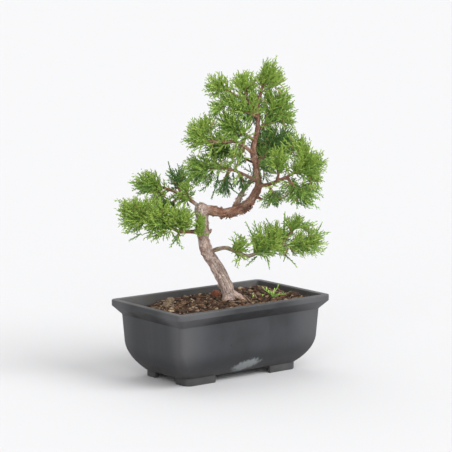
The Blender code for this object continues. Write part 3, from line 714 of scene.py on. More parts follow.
# %% From a few places to a smooth limb
def smooth_route(points, steps):
    """A Catmull-Rom curve through the places, with its thickness, as rows of (x, y, z, thickness)."""
    knots = np.array(points, float)
    knots = np.vstack([2 * knots[0] - knots[1], knots, 2 * knots[-1] - knots[-2]])
    route = []
    for before, start, end, after in zip(knots, knots[1:], knots[2:], knots[3:]):
        for share in np.arange(steps) / steps:
            bend = (2 * before - 5 * start + 4 * end - after) * share**2
            twist = (3 * start - before - 3 * end + after) * share**3
            route.append(0.5 * (2 * start + (end - before) * share + bend + twist))
    return np.array([*route, knots[-2]])


tree_turn = np.array(Matrix.Rotation(math.radians(TREE_TURN), 3, "Z"))


def from_tree(places):
    """Places in the tree's frame, in mm, as places in the model, in mm."""
    return np.asarray(places, float)[..., :3] @ tree_turn.T + TREE_FOOT


ROUTE_STEPS = 5
KNOBBLE = 0.07  # how much a limb's thickness wanders along its length


def knobbly(route, seed):
    route = route.copy()
    for number, row in enumerate(route):
        wander = noise.noise(Vector((number * 0.45, seed * 7.3, 0.5)))
        row[3] *= 1 + KNOBBLE * 2 * wander
    return route


routes = {}
for number, (limb, points) in enumerate(limbs.items()):
    route = knobbly(smooth_route(points, ROUTE_STEPS), number)
    route[:, :3] = from_tree(route)
    routes[limb] = route
length = sum(np.linalg.norm(np.diff(route[:, :3], axis=0), axis=1).sum() for route in routes.values())
print("wood in all, mm:", round(length))

# %% [markdown]
# ### One skin over all the limbs
# Each limb becomes a curve with a round bevel and its own thickness at every point, which is the
# plain way to make a branch. Joined as they are, the limbs would only pass through each other. A
# voxel remesh melts them into one skin with soft collars where a branch leaves the trunk, as on
# grown wood, and a little smoothing takes the voxel steps away.

# %% Limbs, melted together
WOOD_VOXEL = 0.58


def limb_curve(name, route):
    data = bpy.data.curves.new(name, "CURVE")
    data.dimensions = "3D"
    data.bevel_depth = MM / 2
    data.bevel_resolution = 4
    data.use_fill_caps = True
    spline = data.splines.new("POLY")
    spline.points.add(len(route) - 1)
    for point, (x, y, z, thickness) in zip(spline.points, route):
        point.co = (x * MM, y * MM, z * MM, 1.0)
        point.radius = thickness
    made = bpy.data.objects.new(name, data)
    bpy.context.collection.objects.link(made)
    return made


curves = [limb_curve(limb, route) for limb, route in routes.items()]
pick(*curves)
bpy.ops.object.convert(target="MESH")
wood = joined(curves, "wood")
bpy.context.object.data.remesh_voxel_size = WOOD_VOXEL * MM
bpy.ops.object.voxel_remesh()
smoothing = wood.modifiers.new("smoothing", "SMOOTH")
smoothing.factor = 0.5
smoothing.iterations = 3
apply_modifiers(wood)
print("wood faces:", len(wood.data.polygons))

# %% [markdown]
# ### Bark
# Juniper bark splits into long strips that lift and peel along the limb. Its pattern has to follow
# every bend, so each point of the skin first learns where it lies along and across its limb. These
# numbers are kept on the mesh as an attribute: the same grain then shapes the skin here and colours
# it in the material. The old wood low down is grey and pink, the younger wood above is red-brown,
# and two of the branches are green with algae.


# %% The grain of every point
def limb_frames(route):
    """Places, directions and sideways directions along a limb, with the distance along it."""
    places = route[:, :3]
    ways = np.gradient(places, axis=0)
    ways /= np.linalg.norm(ways, axis=1)[:, None]
    side = Vector(ways[0]).orthogonal().normalized()
    sides = []
    for way in ways:
        side = (side - Vector(way) * side.dot(Vector(way))).normalized()
        sides.append(np.array(side))
    steps = np.linalg.norm(np.diff(places, axis=0), axis=1)
    return places, ways, np.array(sides), np.concatenate([[0.0], np.cumsum(steps)])


AGES = {"trunk_lower": (0.0, 0.0), "right_low": (0.35, 1.0), "crown_back": (0.35, 0.85)}
YOUNG = (1.0, 0.0)  # every other limb: how red-brown, and how green
NEAR_TRUNK = 5.0  # mm, where a limb leaves the trunk it still has the trunk's bark
INSIDE_KNUCKLE = 4  # rows of the upper trunk's route that lie inside the knuckle
STILL_GREY = 6  # rows after them whose bark is still old and grey
trunk_places = np.vstack([routes["trunk_lower"][:, :3], routes["trunk_upper"][INSIDE_KNUCKLE:, :3]])
trunk_reds = np.arange(len(trunk_places)) >= len(routes["trunk_lower"]) + STILL_GREY

samples = []
for number, (limb, route) in enumerate(routes.items()):
    fine = smooth_route(route, 3)
    red, green = AGES.get(limb, (0.5, 0.1) if "root" in limb else YOUNG)
    gaps = np.linalg.norm(trunk_places - route[0, :3], axis=1)
    leaves_trunk = gaps.min() < NEAR_TRUNK and limb != "trunk_lower"
    first_red = trunk_reds[gaps.argmin()] if leaves_trunk else red
    for place, way, side, along, thickness in zip(*limb_frames(fine), fine[:, 3]):
        own = min(max((along - NEAR_TRUNK) / 8, 0), 1)
        here = (first_red + (red - first_red) * own, green * own)
        samples.append((*place, *way, *side, along + number * 40, thickness / 2, *here))
samples = np.array(samples)
finder = kdtree.KDTree(len(samples))
for index, place in enumerate(samples[:, :3]):
    finder.insert(place, index)
finder.balance()

count = len(wood.data.vertices)
skin = np.empty(count * 3, np.float32)
wood.data.vertices.foreach_get("co", skin)
skin = skin.reshape(-1, 3) / MM
facing = np.empty(count * 3, np.float32)
wood.data.vertices.foreach_get("normal", facing)
facing = facing.reshape(-1, 3)
nearest = samples[[finder.find(place)[1] for place in skin]]
offset = skin - nearest[:, :3]
way = nearest[:, 3:6]
side = nearest[:, 6:9]
other = np.cross(way, side)
along = nearest[:, 9] + (offset * way).sum(1)
grain = np.stack([(offset * side).sum(1), (offset * other).sum(1), along], 1)
radius = nearest[:, 10]
print("points on the bark:", count)

# %% Peeling strips, cracks and knots
STRIP = (0.55, 0.11)  # detail across and along the grain, per mm
CRACK = (1.15, 0.16)
PLATE = (0.33, 0.075)
TONE_STEPS = 16  # how often the tones are averaged with their neighbours, so that none has an edge


def grain_noise(detail, shift):
    scaled = grain * (detail[0], detail[0], detail[1]) + shift
    return np.array([noise.noise(Vector(place)) for place in scaled])


strips = grain_noise(STRIP, 3.0)
cracks = 1 - np.abs(grain_noise(CRACK, 11.0)) * 2
plates = np.clip((grain_noise(PLATE, 23.0) - 0.02) * 9, 0, 1)
loose = np.clip((radius - 1.2) / 3.0, 0.12, 1.0)
lift = 0.30 * strips + 0.34 * plates - 0.30 * np.clip(cracks - 0.55, 0, 1) - 0.06
scars = np.array([noise.noise(Vector(place * 0.11 + 40)) for place in skin])
skin += facing * (lift * loose)[:, None]
wood.data.vertices.foreach_set("co", (skin * MM).astype(np.float32).ravel())
wood.data.update()

tone = np.ones((count, 4), np.float32)
upper = np.clip((skin[:, 2] - 165) / 12, 0, 1)
tone[:, 0] = np.clip(nearest[:, 11] + 0.55 * np.clip(scars * 4 - 0.5, 0, 1) * (1 - upper), 0, 1)
tone[:, 1] = nearest[:, 12] * np.clip(0.75 + scars, 0.2, 1)
edges = np.empty(len(wood.data.edges) * 2, np.int64)
wood.data.edges.foreach_get("vertices", edges)
ends = np.concatenate([edges[0::2], edges[1::2]])
others = np.concatenate([edges[1::2], edges[0::2]])
neighbours = np.bincount(ends, minlength=count)[:, None]
for _ in range(TONE_STEPS):
    sums = [np.bincount(ends, tone[others, channel], count) for channel in (0, 1)]
    tone[:, :2] = 0.3 * tone[:, :2] + 0.7 * np.stack(sums, 1) / neighbours
# The blue tone carries painted light and shade: it is high where the bark is lifted and low in the cracks.
tone[:, 2] = np.clip(0.5 + 0.5 * plates + 0.3 * strips - 0.5 * np.clip(cracks - 0.6, 0, 1), 0, 1)


def keep(piece, name, kind, values):
    piece.data.attributes.new(name, kind, "POINT").data.foreach_set(
        "color" if kind == "FLOAT_COLOR" else "vector", values.astype(np.float32).ravel()
    )


keep(wood, "grain", "FLOAT_VECTOR", grain)
keep(wood, "tone", "FLOAT_COLOR", tone)
pick(wood)
bpy.ops.object.shade_smooth()
print("bark lifted by up to", round(float((lift * loose).max()), 2), "mm")

# %% [markdown]
# ### Loose flakes
# Where the bark is dry it stands off in small curled flakes, most of all along the level stretch
# of the trunk. One flake is modelled: a flat bar, cut into three lengths, then tapered and curled
# by turning its end twice in edit mode. Copies of it are set into the bark at random.


# %% One flake
def coordinates(piece):
    mesh = piece.data
    places = np.array([vert.co for vert in mesh.vertices])
    faces = [tuple(face.vertices) for face in mesh.polygons]
    return places, faces


def select_where(piece, test):
    """In edit mode, selects the points that pass the test, and what lies between them."""
    bpy.ops.mesh.select_all(action="DESELECT")
    bpy.ops.mesh.select_mode(type="VERT")
    mesh = bmesh.from_edit_mesh(piece.data)
    for vert in mesh.verts:
        vert.select = test(vert.co)
    mesh.select_flush(True)
    bmesh.update_edit_mesh(piece.data)


bpy.ops.object.select_all(action="DESELECT")
bpy.ops.mesh.primitive_cube_add(size=1.0, location=(0, 0, 0))
flake = bpy.context.object
edit_mode()
bpy.ops.transform.resize(value=(0.42, 0.12, 1.0))
for cut in (-0.15, 0.15):
    select_all()
    bpy.ops.mesh.bisect(plane_co=(0, 0, cut), plane_no=(0, 0, 1))
for level, turn, width in ((0.1, 0.30, 0.9), (0.4, 0.35, 0.45)):
    select_where(flake, lambda place: place.z > level)
    bpy.ops.transform.rotate(value=turn, orient_axis="X", center_override=(0, 0, level))
    bpy.ops.transform.resize(value=(width, 0.8, 1.0))
object_mode()
flake_places, flake_faces = coordinates(flake)
flake_places[:, 2] += 0.5
bpy.data.objects.remove(flake)
print("a flake has", len(flake_faces), "faces")

# %% Flakes set into the bark
FLAKES = 500
dice = random.Random(5)
candidates = np.flatnonzero((radius > 1.9) & (skin[:, 2] > 76))
weights = np.clip(radius[candidates] / 4, 0.3, 1.2)
rough_stretch = (skin[:, 2] > 160) & (skin[:, 2] < 184) & (facing[:, 2] < 0.1)
rough_stretch &= np.linalg.norm(skin[:, :2] - from_tree((7, 2, 0))[:2], axis=1) < 17
weights = weights * np.where(rough_stretch[candidates], 12.0, 1.0)
weights = weights * np.where(skin[candidates, 2] < 150, 0.45, 1.0)
chosen = dice.choices(list(candidates), weights=list(weights), k=FLAKES)
places, faces, grains, tones = [], [], [], []
for index in chosen:
    out = Vector(facing[index])
    run = Vector(way[index])
    if dice.random() < 0.5:
        run = -run
    run = (run - out * run.dot(out)).normalized()
    run = Matrix.Rotation(dice.uniform(-0.6, 0.6), 3, out) @ run
    rise = dice.uniform(0.4, 1.1) if rough_stretch[index] else dice.uniform(0.08, 0.5)
    up = (run * math.cos(rise) + out * math.sin(rise)).normalized()
    thin = (out - up * out.dot(up)).normalized()
    size = dice.uniform(1.3, 3.6) * (1.25 if rough_stretch[index] else 0.6 + 0.1 * radius[index])
    axes = np.array([up.cross(thin), -thin, up]) * np.array([[size * dice.uniform(0.7, 1.1)], [size], [size]])
    base = skin[index] - np.array(out) * 0.15
    start = sum(len(block) for block in places)
    places.append(flake_places @ axes + base)
    faces += [tuple(start + corner for corner in face) for face in flake_faces]
    grains.append(grain[index] + flake_places * (2, 2, 6))
    tones.append(np.tile(tone[index] * (1, 1, dice.uniform(0.7, 1.5), 1), (len(flake_places), 1)))
flakes = bpy.data.objects.new("flakes", bpy.data.meshes.new("flakes"))
bpy.context.collection.objects.link(flakes)
flakes.data.from_pydata([tuple(place * MM) for place in np.concatenate(places)], [], faces)
keep(flakes, "grain", "FLOAT_VECTOR", np.concatenate(grains))
keep(flakes, "tone", "FLOAT_COLOR", np.concatenate(tones))
wood = joined([wood, flakes], "wood")
face_outward(wood)
print("flakes:", FLAKES)

# %% [markdown]
# ### The bark's finish
# A node group turns the grain into fine ridges and cracks. The bark material reads the attributes:
# tone red mixes old grey wood with young red-brown wood, tone green adds algae, and tone blue is
# how far the bark is lifted, which paints light on the lifted strips and shade in the cracks.

# %% Grain as a reusable effect
grain_group, recipe, given, end = new_group(
    "wood_grain",
    {"Vector": "Vector", "Across": "Float", "Along": "Float"},
    {"Ridges": "Float", "Cracks": "Float"},
)
size = recipe.node("CombineXYZ", {0: given["Across"], 1: given["Across"], 2: given["Along"]}).outputs[0]
scaled = recipe.node("VectorMath", {0: given["Vector"], 1: size}, operation="MULTIPLY").outputs[0]
ridges = recipe.noise(scaled, 1.0, detail=4.0, rough=0.65, warp=0.3)
cracks = recipe.cells(scaled, 0.55, feature="DISTANCE_TO_EDGE")
give(recipe, end, Ridges=recipe.span(ridges, 0.25, 0.75), Cracks=recipe.span(cracks, 0.10, 0.0))
print("made", grain_group.name)

# %% Juniper bark
bark, recipe = new_material("juniper_bark")
grain_of = recipe.node("Attribute", {}, attribute_name="grain").outputs["Vector"]
tone_of = recipe.node("Attribute", {}, attribute_name="tone").outputs["Color"]
red, green, raised = recipe.node("SeparateColor", {0: tone_of}).outputs[:3]
fine = recipe.group(grain_group, Vector=grain_of, Across=1.6, Along=0.28)
cloud = recipe.group(cloudy_group, Vector=recipe.place(), Patch_Scale=130.0, Grain_Scale=900.0)
old = recipe.mix(fine["Ridges"], (0.42, 0.305, 0.26), (0.78, 0.64, 0.56))
old = recipe.coat(old, (0.56, 0.38, 0.31), cloud["Patches"], 0.35)
young = recipe.mix(fine["Ridges"], (0.15, 0.055, 0.032), (0.40, 0.20, 0.13))
young = recipe.coat(young, (0.44, 0.30, 0.22), cloud["Patches"], 0.6)
mossy = recipe.mix(fine["Ridges"], (0.16, 0.15, 0.075), (0.42, 0.40, 0.23))
colour = recipe.mix(red, old, young)
colour = recipe.coat(colour, mossy, green, 0.85)
# Painted light and shade: lifted bark is lightened and the cracks between the strips are darkened.
shade = recipe.span(raised, 0.1, 0.95, 0.55, 1.1)
colour = recipe.node("VectorMath", {0: colour, 3: shade}, operation="SCALE").outputs[0]
colour = recipe.coat(colour, (0.055, 0.03, 0.02), fine["Cracks"], 0.7)
height = recipe.math("SUBTRACT", fine["Ridges"], recipe.times(fine["Cracks"], 0.8))
recipe.finish(colour, 0.82, recipe.bump(height, 0.00035, 0.9), Specular_IOR_Level=0.25)
finish(wood, "juniper_wood", "juniper_bark", bark, "trunk")

# %% [markdown]
# ## The foliage
# A juniper's scale leaves sit so close that a shoot looks like a thin green cord, 1 to 1.5 mm
# thick. Cords fork into flat little sprays, sprays sit all round the twigs, and the twigs fan out
# from each branch end into a tuft. It is modelled in that order: one cord, a few sprays made of
# cords, then tufts made of hundreds of sprays. A cord repeats tens of thousands of times, so it
# has only seven faces, and its scales are left to the material.

# %% One cord
CORD_FULL = 0.62  # where along the cord the tip begins

pick(floor)
bpy.ops.mesh.primitive_cone_add(vertices=3, radius1=0.5, radius2=0.0, depth=1.0, location=(0, 0, 0.5))
cord = bpy.context.object
edit_mode()
select_all()
bpy.ops.mesh.bisect(plane_co=(0, 0, CORD_FULL), plane_no=(0, 0, 1))
select_where(cord, lambda place: abs(place.z - CORD_FULL) < 0.01)
bpy.ops.transform.resize(value=(2.1, 2.1, 1.0))
select_where(cord, lambda place: place.z < 0.01)
bpy.ops.transform.resize(value=(0.8, 0.8, 1.0))
object_mode()
cord_places, cord_faces = coordinates(cord)
bpy.data.objects.remove(cord)
print("a cord has", len(cord_faces), "faces")

# %% [markdown]
# Every cord gets a place on one shared colour chart, kept as the map OFBake. The chart has eight
# columns of colour, from brown twig through dark green for painted shade and bright green for
# painted light to pale new growth. A cord lies in one column, with its base at the bottom of the
# chart and its tip at the top.

# %% Laying cords on the colour chart
COLUMNS = 8
COLUMN_SHARE = 0.5  # how much of its column a cord covers


class Bundle:
    """Collects many small closed shapes, with their places on the colour chart, for one mesh."""

    def __init__(self):
        self.places, self.faces, self.maps, self.count = [], [], [], 0

    def add(self, places, faces, maps):
        self.places.append(places)
        self.faces += [tuple(self.count + corner for corner in face) for face in faces]
        self.maps.append(maps)
        self.count += len(places)

    def mesh_object(self, name):
        mesh = bpy.data.meshes.new(name)
        mesh.from_pydata((np.concatenate(self.places) * MM).tolist(), [], self.faces)
        chart = mesh.uv_layers.new(name="OFBake")
        chart.uv.foreach_set("vector", np.concatenate(self.maps).astype(np.float32).ravel())
        made = bpy.data.objects.new(name, mesh)
        bpy.context.collection.objects.link(made)
        return made


def chart_places(faces, round_share, along_share, column):
    """Where each corner of each face lies on the chart. round_share goes round the cord."""
    rows = []
    for face in faces:
        turns = [round_share[corner] for corner in face]
        wraps = max(turns) - min(turns) > 0.5
        for corner, turn in zip(face, turns):
            turn = turn + 1 if wraps and turn < 0.5 else turn
            across = (turn / 1.4 - 0.5) * COLUMN_SHARE
            rows.append(((column + 0.5 + across) / COLUMNS, 0.02 + 0.96 * along_share[corner]))
    return np.array(rows)


cord_round = np.arctan2(cord_places[:, 1], cord_places[:, 0]) / (2 * math.pi) % 1.0
cord_map = chart_places(cord_faces, cord_round, cord_places[:, 2], 0)


def bent_cord(start, middle, end, thickness):
    """The cord's points along a bend through three places."""
    start, middle, end = (np.array(place, float) for place in (start, middle, end))
    way = end - start
    way /= np.linalg.norm(way)
    side = np.cross(way, (0.31, 0.77, 0.55))
    side /= np.linalg.norm(side)
    other = np.cross(way, side)
    share = cord_places[:, 2:3]
    route = np.where(share < 0.01, start, np.where(share > 0.99, end, middle))
    return route + (cord_places[:, 0:1] * side + cord_places[:, 1:2] * other) * thickness


# %% [markdown]
# A spray is a leading cord with side cords that leave it left and right and curve forward, each
# shorter than the one before. Six sprays are enough: turned, sized and tilted towards the light,
# they never look alike. Two more are almost bare, for the single shoots and the sides of long ones.

# %% Eight sprays
SPRAY_CORD = 1.7
SPRAYS = 6


def make_spray(seed, side_cords):
    """A spray one unit long along Z: each cord's base, middle, end, thickness and tone step."""
    dice = random.Random(seed)
    bend = dice.uniform(-0.12, 0.12)
    cords = [((0, 0, 0), (bend * 0.25, 0.03, 0.6), (bend, 0.0, 1.0), 1.0, 0)]
    for number in range(side_cords):
        share = 0.10 + 0.66 * number / max(side_cords - 1, 1) + dice.uniform(-0.03, 0.03)
        angle = math.radians(dice.uniform(21, 37))
        hand = 1 if number % 2 else -1
        roll = dice.uniform(-0.6, 0.6) + (0 if hand > 0 else math.pi)
        reach = (0.60 - 0.30 * share) * dice.uniform(0.8, 1.15)
        base = np.array((bend * share * 0.6, 0.02, share))
        level = math.sin(angle)
        out = np.array((level * math.cos(roll), level * math.sin(roll), math.cos(angle)))
        end = base + out * reach + np.array((0, 0, 0.10 * reach))
        middle = base + out * reach * 0.6 - np.array((0, 0, 0.02 * reach))
        cords.append((base, middle, end, dice.uniform(0.8, 1.0), dice.choice((0, 0, 1))))
    return cords


spray_cords = [make_spray(seed + 20, 5) for seed in range(SPRAYS)]
spray_cords += [make_spray(40, 1), make_spray(41, 2)]
print("cords in the first spray:", len(spray_cords[0]))


def add_spray(bundle, kind, start, way, length, column, thickness, spin):
    """Adds a spray that leaves start along way. All sizes are in mm."""
    way = Vector(way).normalized()
    turn = np.array(way.to_track_quat("Z", "Y").to_matrix() @ Matrix.Rotation(spin, 3, "Z"))
    for base, middle, end, thick, step in spray_cords[kind]:
        bend = [np.asarray(place) * length @ turn.T + start for place in (base, middle, end)]
        tone = min(max(column + step, 1), COLUMNS - 1) if column else 0
        shift = np.array((tone / COLUMNS, 0))
        bundle.add(bent_cord(*bend, thick * thickness), cord_faces, cord_map + shift)


def add_twig(bundle, route, thick_start, thick_end, column=0, sides=4):
    """A thin closed tube along a route of places in mm."""
    route = np.asarray(route, float)
    ways = np.gradient(route, axis=0)
    side = Vector(ways[0]).orthogonal().normalized()
    places = []
    for number, (place, way) in enumerate(zip(route, ways)):
        way = Vector(way).normalized()
        side = (side - way * side.dot(way)).normalized()
        other = way.cross(side)
        radius = np.interp(number, (0, len(route) - 1), (thick_start, thick_end)) / 2
        for step in range(sides):
            angle = 2 * math.pi * step / sides
            places.append(place + radius * np.array(side * math.cos(angle) + other * math.sin(angle)))
    faces = [tuple(reversed(range(sides)))]
    for ring in range(len(route) - 1):
        for step in range(sides):
            after = (step + 1) % sides
            low, high = ring * sides, (ring + 1) * sides
            faces.append((low + step, low + after, high + after, high + step))
    faces.append(tuple((len(route) - 1) * sides + step for step in range(sides)))
    round_share = [step / sides for _ in route for step in range(sides)]
    along_share = [ring / (len(route) - 1) for ring in range(len(route)) for _ in range(sides)]
    bundle.add(np.array(places), faces, chart_places(faces, round_share, along_share, column))


# %% [markdown]
# ### Tufts
# Each tuft fills the room of its solid in the model, and some fill more room beside it. Twigs
# leave the branch inside it a little way back and fan out to places spread evenly through the
# tuft. Sprays leave each twig all round at a narrow angle, and turn outwards and up to the light. A
# spray's length is cut to where the tuft ends, with a little left to chance, and its colour follows
# its place as painted shade and light: dark deep inside and below, bright at the outside and on top.
# Each tuft has its own habit: how much its shoots rise or hang, how dense it is, and how many single
# shoots stand out.

# %% Every tuft's habit
# A tuft's tone shifts its columns on the colour chart as painted light or shade: up for tufts in the light,
# down for those at the back and underneath.
BRIGHT = ("young_foliage", 1.15)
MIDDLE = ("foliage", 0.75)
SHADED = ("shaded_foliage", -0.5)
TUFTS = {  # slot and tone, rise, density, single shoots, side twigs behind the tuft
    "left_tip": (BRIGHT, 0.15, 1.0, 8, 2),
    "left_front": (BRIGHT, 0.35, 1.1, 8, 2),
    "left_inner": (BRIGHT, 0.4, 1.0, 7, 0),
    "left_high": (MIDDLE, 0.25, 1.0, 9, 4),
    "left_back": (SHADED, 0.6, 0.55, 10, 1),
    "left_behind": (SHADED, -0.2, 0.9, 5, 2),
    "left_knuckle": (MIDDLE, 0.6, 1.0, 6, 1),
    "trunk_tuft": (("foliage", 1.2), 1.2, 1.5, 4, 0),
    "crown_left_low": (MIDDLE, 0.1, 1.0, 9, 6),
    "crown_hanging": (SHADED, -1.0, 0.6, 10, 1),
    "crown_inner_low": (SHADED, -0.7, 0.7, 7, 1),
    "crown_left_mid": (BRIGHT, 0.35, 1.1, 6, 6),
    "crown_centre": (MIDDLE, 0.3, 0.9, 5, 4),
    "crown_top_left": (BRIGHT, 0.25, 1.0, 8, 4),
    "crown_top_middle": (BRIGHT, 0.5, 1.0, 6, 2),
    "crown_left_upper": (MIDDLE, 0.1, 1.0, 6, 2),
    "crown_front_upper": (MIDDLE, 0.5, 1.0, 4, 2),
    "apex": (BRIGHT, 1.0, 1.1, 8, 3),
    "crown_upper_right": (MIDDLE, 0.35, 1.0, 6, 4),
    "crown_middle_right": (SHADED, 0.3, 0.9, 6, 5),
    "crown_right": (BRIGHT, 0.35, 1.1, 8, 3),
    "crown_right_inner": (BRIGHT, 0.8, 1.1, 6, 1),
    "crown_right_low": (MIDDLE, -0.25, 1.0, 12, 3),
    "crown_right_under": (SHADED, -0.3, 1.0, 8, 2),
    "crown_back": (SHADED, 0.4, 0.9, 6, 6),
    "crown_back_left": (SHADED, 0.1, 0.9, 6, 4),
    "crown_back_top": (SHADED, 0.4, 0.9, 6, 4),
    "right_low_inner": (BRIGHT, 0.5, 1.2, 9, 1),
    "right_low_middle": (BRIGHT, 0.35, 1.05, 16, 2),
    "right_low_outer": (BRIGHT, 0.15, 1.0, 10, 4),
    "right_low_upper": (MIDDLE, 0.4, 0.9, 6, 2),
    "right_low_back": (SHADED, 0.2, 0.9, 8, 3),
}
LIMB_OF = {  # every other tuft grows on the limb that has its name
    "left_tip": "left_low",
    "left_front": "left_low",
    "apex": "trunk_upper",
    "right_low_inner": "right_low",
    "right_low_middle": "right_low",
    "right_low_outer": "right_low",
}
GOLDEN_TURN = math.pi * (3 - math.sqrt(5))
TWIG_REACH = 0.64
FULLNESS = 1.24  # sprays reach a little past the solid, whose spikes stand for their tips
FULLNESS_OF = {
    "crown_left_mid": 1.06,
    "crown_left_low": 1.08,
    "crown_left_upper": 1.0,
    "crown_top_left": 1.12,
    "left_high": 1.06,
    "left_tip": 1.06,
    "right_low_inner": 1.08,
    "right_low_middle": 1.16,
    "apex": 1.14,
}
AREA_PER_TWIG = 123.0  # mm2 of a tuft's outlines, from the front and from the side, for each twig
SPRAY_STEP = 2.2  # mm between sprays along a twig
print("tufts:", len(TUFTS))


# %% Directions, and the room that is left
def unit(vector):
    return vector / max(np.linalg.norm(vector), 1e-9)


def turned_side(way, angle):
    """A direction square to this way, turned round it by the angle."""
    way = Vector(way)
    return np.array(Matrix.Rotation(angle, 3, way) @ way.orthogonal())


def reach_along(start, way, centre, half, limit):
    """How far from start along way the tuft's oval, scaled by limit, ends. 0 outside it."""
    local = (start - centre) / half
    turn = way / half
    a = turn @ turn
    b = local @ turn
    c = local @ local - limit**2
    inside = b * b - a * c
    return max((-b + math.sqrt(inside)) / a, 0.0) if inside > 0 else 0.0


def place_on(route, share):
    """The place at a share of the way along a route."""
    shares = np.linspace(0, 1, len(route))
    return np.array([np.interp(share, shares, route[:, axis]) for axis in range(3)])


print("room from the middle of a ball to its skin:", reach_along(np.zeros(3), np.eye(3)[2], 0.0, 1.0, 1.0))

# %% [markdown]
# Foliage grows together. Between two tufts a branch fills smaller ovals beside its own, and where
# the tree was left to grow, long shoots stand out of the outline like small fern leaves. Both are
# placed one by one, as a grower would judge them.

# %% Between the tufts, and out of the outline
# More room that a tuft's foliage fills between its neighbours: centre and half size, in the
# tree's frame.
SPREAD = {
    "left_tip": (((-101, -22, 107), (13, 13, 8)), ((-88, -16, 106), (12, 13, 9))),
    "left_high": (((-73, 6, 112), (10, 12, 9)), ((-48, 8, 106), (9, 9, 8))),
    "trunk_tuft": (((-29.5, -12, 80), (7.5, 5, 14)),),
    "crown_front_upper": (((27, -7, 205), (6, 5, 11)), ((-2, -10, 215), (10, 10, 8))),
    "crown_left_low": (((-10, 2, 147), (13, 10, 9)),),
    "crown_left_mid": (((-21, -12, 191), (10, 10, 9)),),
    "crown_centre": (((8, -2, 153), (12, 10, 9)), ((17, -6, 180), (8, 8, 10))),
    "crown_middle_right": (
        ((36, 3, 138), (9, 10, 12)), ((36, 8, 178), (9, 9, 14)), ((34, 12, 155), (9, 9, 12)),
    ),
    "crown_right": (
        ((68, -6, 167), (12, 12, 12)), ((86, -14, 130), (9, 10, 11)), ((66, -16, 142), (9, 8, 9)),
    ),
    "crown_right_low": (((60, -9, 127), (13, 12, 9)), ((36, 0, 108), (8, 8, 7))),
    "crown_upper_right": (
        ((60, 5, 189), (8, 9, 10)), ((37, 4, 216), (7, 8, 12)), ((37, 2, 186), (8, 8, 11)),
    ),
    "apex": (((51, 4, 229), (7, 9, 12)), ((29, 2, 231), (7, 8, 9))),
    "right_low_middle": (((60, -13, 56), (11, 10, 8)), ((43, -14, 82), (13, 10, 7))),
    "right_low_upper": (((82, -10, 79), (10, 9, 6)),),
}

# Long shoots that stand out of the outline: from and to, in the tree's frame, and how long their
# side cords are.
LONG_SHOOTS = {
    "crown_hanging": (
        ((-3, 8, 139), (-6, 10, 111), 10), ((-12, 6, 136), (-20, 8, 109), 10),
        ((-19, 6, 131), (-32, 7, 117), 8), ((-3, 8, 124), (13, 7, 112), 6),
    ),
    "crown_inner_low": (((10, 5, 135), (14, 9, 116), 7), ((3, 7, 137), (4, 10, 121), 7)),
    "left_back": (
        ((-57, 28, 118), (-65, 31, 146), 8), ((-44, 28, 116), (-51, 31, 140), 8),
        ((-50, 28, 118), (-58, 30, 139), 7),
    ),
    "left_front": (((-60, -22, 78), (-48, -25, 61), 7), ((-52, -20, 76), (-63, -23, 62), 6)),
    "left_tip": (
        ((-100, -22, 106), (-120, -22, 112), 7), ((-94, -22, 82), (-109, -23, 77), 6),
        ((-92, -22, 77), (-105, -23, 70), 6),
    ),
    "left_high": (((-90, 13, 123), (-106, 13, 126), 7),),
    "right_low_inner": (
        ((12, -14, 64), (-2, -15, 71), 5), ((14, -14, 68), (3, -15, 78), 5),
        ((10, -14, 54), (5, -14, 41), 5), ((28, -15, 52), (16, -15, 41), 5),
    ),
    "right_low_middle": (
        ((24, -15, 72), (16, -15, 89), 5), ((30, -15, 74), (25, -15, 90), 5),
        ((44, -14, 78), (37, -14, 92), 6), ((56, -13, 77), (57, -13, 99), 4),
        ((38, -15, 52), (41, -15, 38), 4), ((56, -14, 54), (70, -14, 40), 5),
    ),
    "right_low_outer": (
        ((84, -11, 71), (105, -12, 77), 6), ((87, -11, 72), (96, -11, 88), 6),
        ((72, -10, 86), (91, -11, 88), 5), ((82, -11, 62), (98, -12, 56), 5),
    ),
    "crown_right_low": (
        ((72, -12, 117), (93, -13, 101), 7), ((66, -12, 113), (84, -13, 102), 6),
        ((82, -13, 122), (97, -14, 113), 6), ((46, -4, 110), (30, -5, 101), 5),
    ),
    "apex": (((38, 4, 238), (38.5, 4, 258), 5),),
    "crown_top_left": (((-10, -10, 227), (-27, -10, 229), 7),),
    "crown_left_mid": (((-34, -14, 174), (-52, -14, 171), 7),),
}
FEATHER_STEP = 2.3  # mm between the side cords of a long shoot
print("long shoots:", sum(len(shoots) for shoots in LONG_SHOOTS.values()))

# %% Growing one tuft
TWIG_BACK = 7  # rows of the stem's route between where a twig leaves and its nearest place
STEM_ROWS = 6  # rows of the limb from which a side oval's twigs leave


